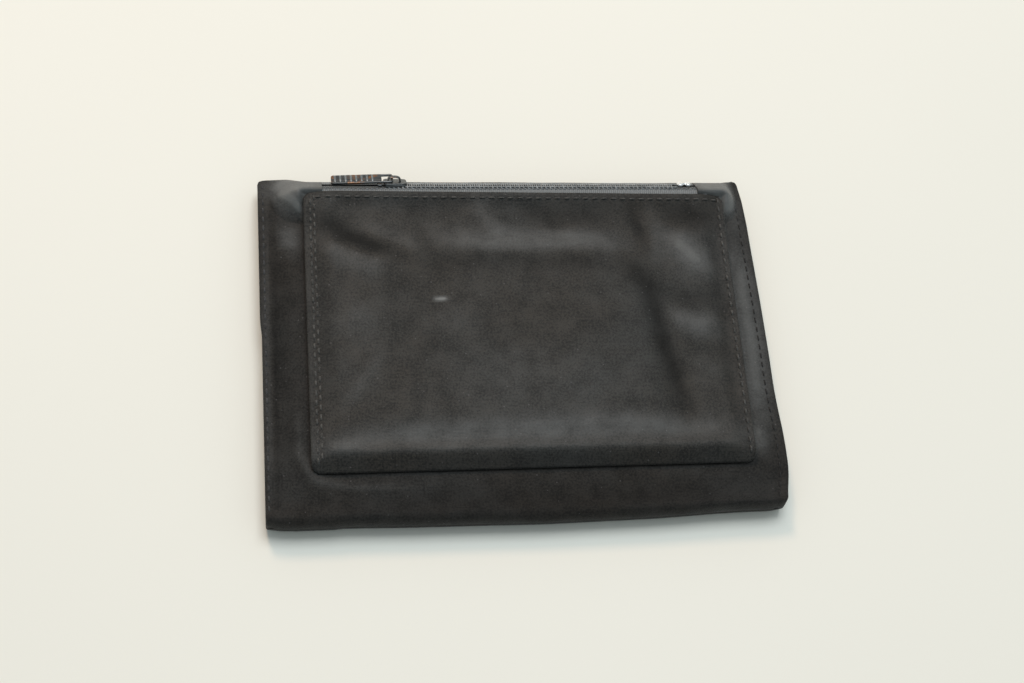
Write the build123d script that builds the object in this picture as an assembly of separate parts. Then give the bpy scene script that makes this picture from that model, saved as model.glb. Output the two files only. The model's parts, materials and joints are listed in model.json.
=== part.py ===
from build123d import *
import math
import os

# A folding nylon passport holder, closed and lying on its back. Millimetres.
# X runs along the fold, Y from the fold to the open edge, Z up from the table.
# The origin is the middle of the bottom of its box.

# Overall size
WIDTH = 150.0
LENGTH = 109.0
CORNER = 2.0

# Sheet thicknesses
SHELL = 0.5
BOARD = 0.6
LINING = 0.3
PANEL = 0.4
POCKET_SKIN = 0.5
SEAM = 0.4

# Depths of the two gusseted pockets, and the air between the closed halves
PASSPORT_DEPTH = 4.3
FRONT_DEPTH = 4.7
CLOSED_GAP = 0.3

# Fold: slits that keep the three outer sheets apart at the two hinge lines
HINGE_SLIT = 0.3

# How far each inner layer stops short of the sheet outside it
LINING_STEP = 1.0
BOARD_STEP = 3.0
FOLD_BOARD_STEP = 1.5

# Passport pocket on the back half
PASSPORT_X = 68.0
PASSPORT_Y = (-51.0, 35.0)
PASSPORT_HEM = 3.0
GUSSET = 0.5

# Hook-and-loop strips
STRIP_X = 30.0
STRIP_Y = (19.0, 29.0)
STRIP_THICK = 0.8

# Thin pockets inside the cover, each sewn round three sides
SLIP_Y = (-51.5, 16.0)
CARD_Y = (-51.5, -6.0)
INNER_POCKET_X = 71.0
SEAM_WIDTH = 2.0

# The cover's open edge droops a little
DROOP_START = 49.5
SHELL_DROOP = 1.9
LINING_DROOP = 1.5

# Front pocket outline
FRONT_LEFT = -62.3
FRONT_RIGHT_TOP = 66.8
FRONT_RIGHT_FOLD = 66.4
FRONT_Y = (-40.0, 47.5)
FRONT_CORNER = 3.0
FRONT_EDGE_ROUND = 0.35
GUSSET_INSET = 1.0
HEM_WIDTH = 3.0
HEM_TO_TAPE = 0.3
PATCH_INSET = 0.8
PATCH_CLEAR = 0.05

# Zipper band, which slopes from the front pocket's hem to the cover's open edge
BAND_FOOT = (54.0, 8.0)
TAPE = 0.4
TAPE_X = (-57.0, 61.5)
TAPE_GAP = 1.2
CHAIN_OFFSET = 4.1
COIL_PITCH = 1.37
COIL_X = (-37.5, 53.0)
COIL_HEIGHT = 1.0
COIL_SPINE = (1.25, 1.9)
COIL_TIP = 0.5
COIL_TOOTH = 0.85

# Slider
SLIDER_X = (-38.0, -31.0)
SLIDER_WIDE = 5.6
SLIDER_NARROW = 4.8
SLIDER_W = (-1.0, 1.9)
CHANNEL_W = (-0.55, 1.35)
CHANNEL_HALF = 2.1
TAPE_SLOT_W = (-0.4, 0.4)
DIVIDER_THICK = 0.6
DIVIDER_X = (-37.7, -36.1)
SLIDER_ROUND = 0.9
BRIDGE_X = (-36.9, -32.4)
BRIDGE_HALF = 0.9
BRIDGE_TOP = 3.3
BRIDGE_WALL = 0.6

# Pull: a wire link through the bridge and a ribbed tab on its end
PIVOT_X = -35.5
WIRE = 0.7
PIVOT_W = 2.35
LINK_END = -45.0
LINK_HALF = 2.0
TAB_X = (-53.8, -44.0)
TAB_HALF = 2.1
TAB_THICK = 1.3
RIB_PITCH = 1.5
RIB_DEPTH = 0.25
TAB_MARGIN = 0.9

# Stops
BOTTOM_STOP_X = (53.4, 57.6)
BOTTOM_STOP_HALF = 1.9
STOP_HEIGHT = 1.3
TOP_STOP_X = (-39.9, -38.4)

# Heights worked out from the layers, from the table up
BACK_BOARD_Z = SHELL
BACK_LINING_Z = BACK_BOARD_Z + BOARD
BACK_TOP_Z = BACK_LINING_Z + LINING
PASSPORT_PANEL_Z = BACK_TOP_Z + PASSPORT_DEPTH
HALF_TOP_Z = PASSPORT_PANEL_Z + PANEL
CARD_PANEL_Z = HALF_TOP_Z + CLOSED_GAP
CARD_SEAM_Z = CARD_PANEL_Z + LINING
SLIP_PANEL_Z = CARD_SEAM_Z + SEAM
SLIP_SEAM_Z = SLIP_PANEL_Z + LINING
COVER_LINING_Z = SLIP_SEAM_Z + SEAM
COVER_BOARD_Z = COVER_LINING_Z + LINING
COVER_SHELL_Z = COVER_BOARD_Z + BOARD
COVER_TOP_Z = COVER_SHELL_Z + SHELL
FRONT_PANEL_Z = COVER_TOP_Z + FRONT_DEPTH
FRONT_TOP_Z = FRONT_PANEL_Z + POCKET_SKIN

FOLD_Y = -LENGTH / 2
EDGE_Y = LENGTH / 2

# The band's own frame: x along the zipper, y down the slope, z out of the band
BAND_HEAD = (FRONT_Y[1], FRONT_TOP_Z - POCKET_SKIN / 2)
BAND_TILT = math.atan2(BAND_HEAD[1] - BAND_FOOT[1], BAND_FOOT[0] - BAND_HEAD[0])
BAND_LENGTH = math.hypot(BAND_FOOT[0] - BAND_HEAD[0], BAND_HEAD[1] - BAND_FOOT[1])
BAND = Plane(
    origin=(
        0,
        BAND_HEAD[0] + CHAIN_OFFSET * math.cos(BAND_TILT),
        BAND_HEAD[1] - CHAIN_OFFSET * math.sin(BAND_TILT),
    ),
    x_dir=(1, 0, 0),
    z_dir=(0, math.sin(BAND_TILT), math.cos(BAND_TILT)),
)


def block(x, y, z):
    """A plain block between two values on each axis."""
    size = (x[1] - x[0], y[1] - y[0], z[1] - z[0])
    middle = ((x[0] + x[1]) / 2, (y[0] + y[1]) / 2, (z[0] + z[1]) / 2)
    return Pos(*middle) * Box(*size)


def sheet(half_width, y, z_low, thickness, corner):
    """A flat sheet, centred on X, with rounded corners in plan."""
    outline = RectangleRounded(2 * half_width, y[1] - y[0], corner)
    return extrude(Pos(0, (y[0] + y[1]) / 2, z_low) * outline, thickness)


def on_band(part):
    """Moves a part made in the zipper band's own frame to its place."""
    return BAND.location * part


def drooping_sheet(half_width, y, z_low, thickness, droop):
    """A cover sheet whose open edge bends down by the droop."""
    bend = DROOP_START
    profile = Polyline(
        (y[0], z_low),
        (bend, z_low),
        (y[1], z_low - droop),
        (y[1], z_low - droop + thickness),
        (bend, z_low + thickness),
        (y[0], z_low + thickness),
        close=True,
    )
    return extrude(Plane.YZ * make_face(profile), half_width, both=True)


def three_sided_wall(half_width, y, z_low, height, wall):
    """A wall round the fold side and both ends of a pocket, open towards +Y."""
    outside = block((-half_width, half_width), y, (z_low, z_low + height))
    inside_y = (y[0] + wall, y[1] + wall)
    inside = block((wall - half_width, half_width - wall), inside_y, (z_low, z_low + height))
    return outside - inside


def seam_strips(half_width, y, z_low):
    """Turned seam edges under a thin pocket: one strip on each sewn side."""
    z = (z_low, z_low + SEAM)
    left = block((-half_width, SEAM_WIDTH - half_width), y, z)
    right = block((half_width - SEAM_WIDTH, half_width), y, z)
    between = (SEAM_WIDTH - half_width, half_width - SEAM_WIDTH)
    fold_side = block(between, (y[0], y[0] + SEAM_WIDTH), z)
    return left + fold_side + right


# Back half

def back_shell():
    return sheet(WIDTH / 2, (FOLD_Y + HINGE_SLIT, EDGE_Y), 0, SHELL, CORNER)


def back_stiffener():
    y = (FOLD_Y + FOLD_BOARD_STEP, EDGE_Y - BOARD_STEP)
    return sheet(WIDTH / 2 - BOARD_STEP, y, BACK_BOARD_Z, BOARD, CORNER)


def back_lining():
    y = (FOLD_Y + LINING_STEP, EDGE_Y - LINING_STEP)
    return sheet(WIDTH / 2 - LINING_STEP, y, BACK_LINING_Z, LINING, CORNER)


def passport_pocket_panel():
    return sheet(PASSPORT_X, PASSPORT_Y, PASSPORT_PANEL_Z, PANEL, CORNER)


def passport_pocket_gusset():
    y = (PASSPORT_Y[0] + GUSSET, PASSPORT_Y[1] - PASSPORT_HEM)
    return three_sided_wall(PASSPORT_X - GUSSET, y, BACK_TOP_Z, PASSPORT_DEPTH, GUSSET)


def passport_pocket_hem():
    y = (PASSPORT_Y[1] - PASSPORT_HEM, PASSPORT_Y[1])
    x = (CORNER - PASSPORT_X, PASSPORT_X - CORNER)
    return block(x, y, (HALF_TOP_Z, HALF_TOP_Z + LINING))


def loop_strip():
    return sheet(STRIP_X, STRIP_Y, HALF_TOP_Z, STRIP_THICK, CORNER)


# Spine

def spine_shell():
    z = (SHELL + HINGE_SLIT, COVER_SHELL_Z - HINGE_SLIT)
    return block((-WIDTH / 2, WIDTH / 2), (FOLD_Y, FOLD_Y + SHELL), z)


def spine_lining():
    z = (BACK_TOP_Z, COVER_LINING_Z)
    y = (FOLD_Y + SHELL, FOLD_Y + SHELL + LINING)
    x = (LINING_STEP - WIDTH / 2, WIDTH / 2 - LINING_STEP)
    return block(x, y, z)


# Cover half

def cover_shell():
    y = (FOLD_Y + HINGE_SLIT, EDGE_Y)
    return drooping_sheet(WIDTH / 2, y, COVER_SHELL_Z, SHELL, SHELL_DROOP)


def cover_stiffener():
    y = (FOLD_Y + FOLD_BOARD_STEP, DROOP_START - LINING_STEP)
    return sheet(WIDTH / 2 - BOARD_STEP, y, COVER_BOARD_Z, BOARD, CORNER)


def cover_lining():
    y = (FOLD_Y + LINING_STEP, EDGE_Y - LINING_STEP / 2)
    return drooping_sheet(WIDTH / 2 - LINING_STEP, y, COVER_LINING_Z, LINING, LINING_DROOP)


def slip_pocket_panel():
    return sheet(INNER_POCKET_X, SLIP_Y, SLIP_PANEL_Z, LINING, CORNER)


def slip_pocket_seam():
    return seam_strips(INNER_POCKET_X - CORNER, (SLIP_Y[0] + CORNER, SLIP_Y[1]), SLIP_SEAM_Z)


def card_pocket_panel():
    return sheet(INNER_POCKET_X, CARD_Y, CARD_PANEL_Z, LINING, CORNER)


def card_pocket_seam():
    """Three sewn sides and the stitched divider that makes two card slots."""
    y = (CARD_Y[0] + CORNER, CARD_Y[1])
    divider_y = (y[0] + SEAM_WIDTH, y[1])
    divider = block((-SEAM_WIDTH / 2, SEAM_WIDTH / 2), divider_y, (CARD_SEAM_Z, CARD_SEAM_Z + SEAM))
    return seam_strips(INNER_POCKET_X - CORNER, y, CARD_SEAM_Z) + divider


def hook_strip():
    return sheet(STRIP_X, STRIP_Y, COVER_LINING_Z - STRIP_THICK, STRIP_THICK, CORNER)


# Front pocket

def front_outline(inset, top_y):
    """The front pocket's outline, moved in by the inset on its three sewn sides."""
    fold_y = FRONT_Y[0] + inset
    return Polyline(
        (FRONT_LEFT + inset, fold_y),
        (FRONT_RIGHT_FOLD - inset, fold_y),
        (FRONT_RIGHT_TOP - inset, top_y),
        (FRONT_LEFT + inset, top_y),
        close=True,
    )


def front_pocket_panel():
    face = Pos(0, 0, FRONT_PANEL_Z) * make_face(front_outline(0, FRONT_Y[1]))
    panel = extrude(face, POCKET_SKIN)
    panel = fillet(panel.edges().filter_by(Axis.Z), FRONT_CORNER)
    outer_edge = panel.faces().sort_by(Axis.Z)[-1].edges()
    return fillet(outer_edge, FRONT_EDGE_ROUND)


def front_pocket_gusset():
    top_y = FRONT_Y[1] - HEM_WIDTH
    outside = make_face(front_outline(GUSSET_INSET, top_y))
    inside = make_face(front_outline(GUSSET_INSET + GUSSET, top_y + 1))
    return extrude(Pos(0, 0, COVER_TOP_Z) * (outside - inside), FRONT_DEPTH)


def front_pocket_hem():
    """The turned-in top edge, inside the pocket."""
    x = (FRONT_LEFT + FRONT_CORNER, FRONT_RIGHT_TOP - FRONT_CORNER)
    y = (FRONT_Y[1] - HEM_WIDTH, FRONT_Y[1] - HEM_TO_TAPE)
    return block(x, y, (FRONT_PANEL_Z - LINING, FRONT_PANEL_Z))


def band_z(y):
    """The height of the middle of the band at a place between its head and its foot."""
    return BAND_HEAD[1] - (y - BAND_HEAD[0]) * math.tan(BAND_TILT)


def end_patch(x_outer, x_inner):
    """Shell fabric that closes one end of the band: a sloped sheet and its end wall."""
    slope_y = (HEM_TO_TAPE - CHAIN_OFFSET, BAND_LENGTH - CHAIN_OFFSET)
    x = sorted((x_outer, x_inner))
    slope = on_band(block(x, slope_y, (-TAPE / 2, TAPE / 2)))
    inward = math.copysign(SHELL, x_inner - x_outer)
    head_y = BAND_HEAD[0] + HEM_TO_TAPE
    foot_y = BAND_FOOT[0] - PATCH_INSET
    floor_z = COVER_TOP_Z + PATCH_CLEAR
    wall = Polyline(
        (head_y, floor_z),
        (DROOP_START + 2 * PATCH_INSET, floor_z),
        (foot_y, band_z(foot_y)),
        (head_y, band_z(head_y)),
        close=True,
    )
    side = extrude(Pos(x_outer, 0, 0) * (Plane.YZ * make_face(wall)), inward)
    return slope + side


def zipper_end_patches():
    left = end_patch(FRONT_LEFT + PATCH_INSET, TAPE_X[0])
    right = end_patch(FRONT_RIGHT_TOP - PATCH_INSET, TAPE_X[1])
    return Compound(children=[left, right])


# Zipper, in the band's own frame

def zipper_tape_front():
    y = (HEM_TO_TAPE - CHAIN_OFFSET, -TAPE_GAP / 2)
    return on_band(block(TAPE_X, y, (-TAPE / 2, TAPE / 2)))


def zipper_tape_back():
    y = (TAPE_GAP / 2, BAND_LENGTH - CHAIN_OFFSET)
    return on_band(block(TAPE_X, y, (-TAPE / 2, TAPE / 2)))


def coil(side):
    """One row of the chain: a comb with a tooth at every pitch."""
    z = (TAPE / 2, TAPE / 2 + COIL_HEIGHT)
    row = block(COIL_X, sorted(side * y for y in COIL_SPINE), z)
    tooth_y = sorted((side * COIL_TIP, side * COIL_SPINE[0]))
    shift = 0 if side > 0 else COIL_PITCH / 2
    count = int((COIL_X[1] - COIL_X[0] - shift - COIL_TOOTH) / COIL_PITCH) + 1
    starts = [COIL_X[0] + shift + COIL_PITCH * i for i in range(count)]
    teeth = [block((x, x + COIL_TOOTH), tooth_y, z) for x in starts]
    return on_band(row + teeth)


def zipper_coil_front():
    return coil(-1)


def zipper_coil_back():
    return coil(1)


def zipper_bottom_stop():
    """A crimped staple: two lobes joined by a flat bar."""
    middle = sum(BOTTOM_STOP_X) / 2
    length = (BOTTOM_STOP_X[1] - BOTTOM_STOP_X[0]) / 2
    y = (-BOTTOM_STOP_HALF, BOTTOM_STOP_HALF)
    z = (TAPE / 2, TAPE / 2 + STOP_HEIGHT)
    lobes = [
        block((BOTTOM_STOP_X[0], middle - length / 4), y, z),
        block((middle + length / 4, BOTTOM_STOP_X[1]), y, z),
    ]
    lobes = [fillet(lobe.edges(), STOP_HEIGHT / 4) for lobe in lobes]
    bar = block((middle - length / 2, middle + length / 2), (-TAPE, TAPE), (z[0] + TAPE, z[1] - TAPE))
    return on_band(lobes[0] + bar + lobes[1])


def zipper_top_stops():
    z = (TAPE / 2, TAPE / 2 + COIL_HEIGHT)
    stops = []
    for side in (-1, 1):
        y = sorted((side * COIL_TIP, side * COIL_SPINE[1]))
        clip = block(TOP_STOP_X, y, z)
        stops.append(on_band(fillet(clip.edges(), COIL_HEIGHT / 5)))
    return Compound(children=stops)


# Slider and pull, in the band's own frame

def slider_outline():
    """Wider where the two rows part, narrower where they leave meshed."""
    wide = SLIDER_WIDE / 2
    narrow = SLIDER_NARROW / 2
    shape = make_face(Polyline(
        (SLIDER_X[0], -wide),
        (SLIDER_X[1], -narrow),
        (SLIDER_X[1], narrow),
        (SLIDER_X[0], wide),
        close=True,
    ))
    return fillet(shape.vertices(), SLIDER_ROUND)


def slider_body():
    body = extrude(Pos(0, 0, SLIDER_W[0]) * slider_outline(), SLIDER_W[1] - SLIDER_W[0])
    past_ends = (SLIDER_X[0] - 1, SLIDER_X[1] + 1)
    body -= block(past_ends, (-CHANNEL_HALF, CHANNEL_HALF), CHANNEL_W)
    body -= block(past_ends, (-SLIDER_WIDE, SLIDER_WIDE), TAPE_SLOT_W)
    body += block(DIVIDER_X, (-DIVIDER_THICK / 2, DIVIDER_THICK / 2), CHANNEL_W)
    arch = block(BRIDGE_X, (-BRIDGE_HALF, BRIDGE_HALF), (SLIDER_W[1], BRIDGE_TOP))
    arch = fillet(arch.edges().filter_by(Axis.Y).group_by(Axis.Z)[-1], BRIDGE_WALL)
    hole_x = (BRIDGE_X[0] + BRIDGE_WALL, BRIDGE_X[1] - BRIDGE_WALL)
    arch -= block(hole_x, (-BRIDGE_HALF, BRIDGE_HALF), (SLIDER_W[1], BRIDGE_TOP - BRIDGE_WALL / 2))
    return on_band(body + arch)


def pull_link():
    """A wire loop: its round end bar runs under the slider's bridge."""
    end_bar = Pos(PIVOT_X, 0, PIVOT_W) * Rot(X=90) * Cylinder(WIRE / 2, 2 * LINK_HALF)
    arms = [
        block((LINK_END, PIVOT_X), sorted((side * (LINK_HALF - WIRE), side * LINK_HALF)),
              (PIVOT_W - WIRE / 2, PIVOT_W + WIRE / 2))
        for side in (-1, 1)
    ]
    arms = [fillet(arm.edges().filter_by(Axis.X), WIRE / 4) for arm in arms]
    return on_band(end_bar + arms[0] + arms[1])


def pull_tab():
    """A flat tab with ribs across both faces and slots for the link's arms."""
    z = (PIVOT_W - TAB_THICK / 2, PIVOT_W + TAB_THICK / 2)
    tab = block(TAB_X, (-TAB_HALF, TAB_HALF), z)
    tab = fillet(tab.edges().filter_by(Axis.Z), TAB_MARGIN)
    count = int((TAB_X[1] - TAB_X[0] - 2 * TAB_MARGIN) / RIB_PITCH)
    for i in range(count):
        x = TAB_X[0] + TAB_MARGIN + RIB_PITCH * (i + 0.5)
        groove_x = (x - RIB_PITCH / 4, x + RIB_PITCH / 4)
        for groove_z in ((z[0], z[0] + RIB_DEPTH), (z[1] - RIB_DEPTH, z[1])):
            tab -= block(groove_x, (-TAB_HALF, TAB_HALF), groove_z)
    for side in (-1, 1):
        arm_y = sorted((side * (LINK_HALF - WIRE), side * (LINK_HALF + WIRE)))
        tab -= block((LINK_END, TAB_X[1]), arm_y, (PIVOT_W - WIRE / 2, PIVOT_W + WIRE / 2))
    return on_band(tab)


NODES = (
    back_shell,
    back_stiffener,
    back_lining,
    passport_pocket_panel,
    passport_pocket_gusset,
    passport_pocket_hem,
    loop_strip,
    spine_shell,
    spine_lining,
    cover_shell,
    cover_stiffener,
    cover_lining,
    slip_pocket_panel,
    slip_pocket_seam,
    card_pocket_panel,
    card_pocket_seam,
    hook_strip,
    front_pocket_panel,
    front_pocket_gusset,
    front_pocket_hem,
    zipper_end_patches,
    zipper_tape_front,
    zipper_tape_back,
    zipper_coil_front,
    zipper_coil_back,
    zipper_bottom_stop,
    zipper_top_stops,
    slider_body,
    pull_link,
    pull_tab,
)

os.makedirs("parts", exist_ok=True)
for make in NODES:
    export_step(make(), "parts/" + make.__name__ + ".step")

print("cover top", COVER_TOP_Z, "front top", FRONT_TOP_Z)
print("band tilt", math.degrees(BAND_TILT), "pull pivot", BAND.from_local_coords((PIVOT_X, 0, PIVOT_W)))
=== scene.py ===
import json
import math
import bpy
import numpy as np
from mathutils import Matrix, Vector, noise
from mathutils.bvhtree import BVHTree


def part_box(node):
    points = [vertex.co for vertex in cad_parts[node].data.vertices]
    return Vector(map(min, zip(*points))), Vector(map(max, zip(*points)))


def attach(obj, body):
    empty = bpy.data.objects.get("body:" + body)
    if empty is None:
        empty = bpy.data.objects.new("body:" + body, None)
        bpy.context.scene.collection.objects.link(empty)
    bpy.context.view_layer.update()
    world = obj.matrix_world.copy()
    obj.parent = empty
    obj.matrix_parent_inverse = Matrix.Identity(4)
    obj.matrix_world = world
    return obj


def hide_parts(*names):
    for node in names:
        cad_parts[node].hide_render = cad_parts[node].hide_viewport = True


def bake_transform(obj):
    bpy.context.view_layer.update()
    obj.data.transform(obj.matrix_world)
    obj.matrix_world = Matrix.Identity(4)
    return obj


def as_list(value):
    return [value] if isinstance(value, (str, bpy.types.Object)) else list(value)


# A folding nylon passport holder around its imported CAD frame. Metres, Z up, X along the fold.
# Helpers take millimetres where their text says so, and every mesh is stored in metres.

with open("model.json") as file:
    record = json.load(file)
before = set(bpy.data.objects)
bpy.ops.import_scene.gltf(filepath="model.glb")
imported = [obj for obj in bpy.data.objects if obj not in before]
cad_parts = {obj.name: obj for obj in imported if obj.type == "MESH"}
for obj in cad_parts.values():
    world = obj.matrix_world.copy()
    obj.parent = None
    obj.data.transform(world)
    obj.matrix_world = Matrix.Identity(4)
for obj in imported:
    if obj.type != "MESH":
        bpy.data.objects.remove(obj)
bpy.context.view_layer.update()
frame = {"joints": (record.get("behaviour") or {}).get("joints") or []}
MM = 0.001


def node_box(node):
    """A node's low and high corners at rest, in millimetres."""
    low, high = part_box(node)
    return np.array(low) / MM, np.array(high) / MM


# ---------------------------------------------------------------- sizes from the frame, in mm

COVER_HIGH = node_box("cover_shell")[1]
PANEL_LOW, PANEL_HIGH = node_box("front_pocket_panel")
BACK_LINING_TOP = node_box("back_lining")[1][2]
COVER_LINING_TOP = node_box("cover_lining")[1][2]
PASSPORT_LOW, PASSPORT_HIGH = node_box("passport_pocket_panel")
SLIP_LOW, SLIP_HIGH = node_box("slip_pocket_panel")
CARD_LOW, CARD_HIGH = node_box("card_pocket_panel")
TAPE_FRONT_LOW, TAPE_FRONT_HIGH = node_box("zipper_tape_front")
SLIDER_LOW, SLIDER_HIGH = node_box("slider_body")
TAB_LOW, TAB_HIGH = node_box("pull_tab")
STOP_LOW, STOP_HIGH = node_box("zipper_bottom_stop")

HALF_WIDTH = COVER_HIGH[0]
FOLD_Y = -COVER_HIGH[1]
EDGE_Y = COVER_HIGH[1]
COVER_TOP = COVER_HIGH[2]
PANEL_TOP = PANEL_HIGH[2]
PANEL_LEFT = PANEL_LOW[0]
PANEL_RIGHT = PANEL_HIGH[0] + 0.2
PANEL_TAPER = 0.35
PANEL_FOLD_Y = PANEL_LOW[1]
PANEL_HEM_Y = PANEL_HIGH[1] + 0.4
MID_SPINE = COVER_TOP / 2

# The swing axis runs down the slope of the zipper band, so it gives the band's tilt
JOINTS = {joint["name"]: joint for joint in frame["joints"]}
SWING_AXIS = JOINTS["pull_swing"]["axis"]
SWING_POINT = [value / MM for value in JOINTS["pull_swing"]["pos_m"]]
BAND_DOWN = Vector(SWING_AXIS).normalized()
BAND_OUT = Vector((0, -BAND_DOWN.z, BAND_DOWN.y))
TAPE_THICK = 0.4
PIVOT_HEIGHT = 2.35
BAND_CENTRE = Vector((0, SWING_POINT[1], SWING_POINT[2])) - BAND_OUT * PIVOT_HEIGHT


def band_point(x, down, out):
    """A point given along the zipper, down the band from the chain, and out of the band."""
    return Vector((x, 0, 0)) + BAND_CENTRE + BAND_DOWN * down + BAND_OUT * out


# ---------------------------------------------------------------- small functions

def ramp(value, low, high):
    """0 below low, 1 above high, and a smooth climb between them."""
    t = np.clip((np.asarray(value, float) - low) / (high - low), 0.0, 1.0)
    return t * t * (3 - 2 * t)


def hump(value, middle, half_width):
    """1 at the middle, falling smoothly to 0 at half_width on each side."""
    return 1 - ramp(np.abs(np.asarray(value, float) - middle), 0, half_width)


def grain(x, y, size, seed=0.0):
    """Smooth noise over a plane, about -1 to 1, with features about size across."""
    flat_x = np.ravel(x) / size
    flat_y = np.ravel(y) / size
    values = [noise.noise(Vector((a, b, seed))) for a, b in zip(flat_x, flat_y)]
    return np.reshape(values, np.shape(x))


def crease(x, y, path, half_width, depth):
    """A soft groove (negative depth) or ridge along a path of points, fading at both ends."""
    path = np.asarray(path, float)
    best = np.full(np.shape(x), 1e9)
    along = np.zeros(np.shape(x))
    lengths = np.linalg.norm(np.diff(path, axis=0), axis=1)
    total = lengths.sum()
    start = 0.0
    for (ax, ay), (bx, by), length in zip(path[:-1], path[1:], lengths):
        t = np.clip(((x - ax) * (bx - ax) + (y - ay) * (by - ay)) / length ** 2, 0, 1)
        distance = np.hypot(x - ax - t * (bx - ax), y - ay - t * (by - ay))
        nearer = distance < best
        best = np.where(nearer, distance, best)
        along = np.where(nearer, (start + t * length) / total, along)
        start += length
    fade = ramp(along, -0.02, 0.28) * (1 - ramp(along, 0.72, 1.02))
    return depth * np.exp(-(best / half_width) ** 2) * (0.35 + 0.65 * fade)


def mesh_object(name, points_mm, faces, uv_mm=None):
    """An object from points and faces, with UVs in the same millimetres where they are given."""
    mesh = bpy.data.meshes.new(name)
    points = np.asarray(points_mm, float).reshape(-1, 3) * MM
    mesh.from_pydata([tuple(p) for p in points], [], [tuple(int(i) for i in f) for f in faces])
    mesh.update()
    if uv_mm is not None:
        layer = mesh.uv_layers.new(name="UVMap")
        index = np.zeros(len(mesh.loops), np.int32)
        mesh.loops.foreach_get("vertex_index", index)
        layer.data.foreach_set("uv", (np.asarray(uv_mm, float).reshape(-1, 2)[index] * MM).ravel())
    mesh.polygons.foreach_set("use_smooth", [True] * len(mesh.polygons))
    obj = bpy.data.objects.new(name, mesh)
    bpy.context.scene.collection.objects.link(obj)
    return obj


def settled(obj, slot, body, *nodes):
    """Hides the CAD nodes that a piece stands for and hangs the piece on the body that it rides on. Its slot
    argument is not used.
    """
    if nodes:
        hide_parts(*nodes)
    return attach(obj, body)


def grid_faces(rows, columns, closed_rows=False, closed_columns=False):
    """Quads over a grid of points, counted row by row."""
    faces = []
    for i in range(rows if closed_rows else rows - 1):
        for j in range(columns if closed_columns else columns - 1):
            a = i * columns + j
            b = i * columns + (j + 1) % columns
            c = ((i + 1) % rows) * columns + (j + 1) % columns
            d = ((i + 1) % rows) * columns + j
            faces.append((a, b, c, d))
    return faces


def grid_object(name, points_mm, uv_mm=None):
    rows, columns = np.shape(points_mm)[:2]
    return mesh_object(name, points_mm, grid_faces(rows, columns), uv_mm)


def set_wear_and_shading(obj, values):
    """Stores each point's wear and painted shading: above 0 paler and smoother (painted highlight, with some
    wear), below 0 darker (painted shade).
    """
    wear_and_shading = obj.data.attributes.new("wear_and_shading", "FLOAT", "POINT")
    wear_and_shading.data.foreach_set("value", np.ravel(values).astype(np.float32))
    return obj


def add_thickness(obj, thick_mm, offset=-1.0):
    solid = obj.modifiers.new("thickness", "SOLIDIFY")
    solid.thickness = thick_mm * MM
    solid.offset = offset
    return obj


def smoother(obj, levels=1):
    subdivide = obj.modifiers.new("smooth", "SUBSURF")
    subdivide.levels = levels
    subdivide.render_levels = levels
    return obj


def apply_modifiers(obj):
    """Turns what the modifiers show into the object's own mesh."""
    graph = bpy.context.evaluated_depsgraph_get()
    mesh = bpy.data.meshes.new_from_object(obj.evaluated_get(graph), depsgraph=graph)
    obj.modifiers.clear()
    obj.data = mesh
    return obj


def surface_of(*objects):
    """A tree of several pieces' shown faces, for dropping stitches onto them."""
    points = []
    faces = []
    graph = bpy.context.evaluated_depsgraph_get()
    graph.update()
    for obj in objects:
        mesh = obj.evaluated_get(graph).to_mesh()
        base = len(points)
        points += [obj.matrix_world @ v.co for v in mesh.vertices]
        faces += [[base + i for i in polygon.vertices] for polygon in mesh.polygons]
        obj.evaluated_get(graph).to_mesh_clear()
    return BVHTree.FromPolygons(points, faces)


def joined(name, pieces_of_mesh):
    """One object from a list of (points_mm, faces)."""
    points = []
    faces = []
    for some_points, some_faces in pieces_of_mesh:
        base = len(points)
        points += [tuple(p) for p in some_points]
        faces += [tuple(base + i for i in face) for face in some_faces]
    return mesh_object(name, points, faces)


def capped(rings, closed=False):
    """Points and faces between rings of points, closed into a loop or with a face at each end."""
    count = len(rings[0])
    points = [p for one in rings for p in one]
    faces = grid_faces(len(rings), count, closed_rows=closed, closed_columns=True)
    if not closed:
        faces.append(tuple(reversed(range(count))))
        faces.append(tuple((len(rings) - 1) * count + i for i in range(count)))
    return points, faces


def tube(path, radius, sides=8, closed=False, flat=1.0, across=None):
    """A round or flattened wire along a path in millimetres. across fixes its width's direction."""
    path = [Vector(p) for p in path]
    count = len(path)
    angles = [2 * math.pi * k / sides for k in range(sides)]
    rings = []
    for i, centre in enumerate(path):
        before = path[(i - 1) % count] if closed or i > 0 else centre
        after = path[(i + 1) % count] if closed or i < count - 1 else centre
        along = (after - before).normalized()
        side = along.cross(BAND_OUT) if across is None else across - along * across.dot(along)
        side.normalize()
        out = side.cross(along).normalized()
        rings.append([
            centre + side * radius * math.cos(a) + out * radius * flat * math.sin(a) for a in angles])
    return capped(rings, closed)


def slab(outline, levels, place):
    """A rounded slab: the outline at each (height, inset), closed top and bottom.

    outline(inset) gives the plan's points, and place(x, y, z) puts a point in the row frame."""
    return capped([[place(x, y, height) for x, y in outline(inset)] for height, inset in levels])


def rounded_plan(half_x, half_y, radius, taper=0.0, steps=5):
    """A rounded rectangle's points as a function of an inset. taper narrows its +X end."""
    def outline(inset):
        hx = half_x - inset
        r = max(radius - inset, 0.02)
        points = []
        for corner in range(4):
            sx = 1 if corner in (0, 3) else -1
            sy = 1 if corner in (0, 1) else -1
            hy = half_y - inset - (taper if sx > 0 else 0)
            for k in range(steps + 1):
                angle = (corner + k / steps) * math.pi / 2
                points.append((sx * (hx - r) + r * math.cos(angle), sy * (hy - r) + r * math.sin(angle)))
        return points
    return outline


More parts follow.
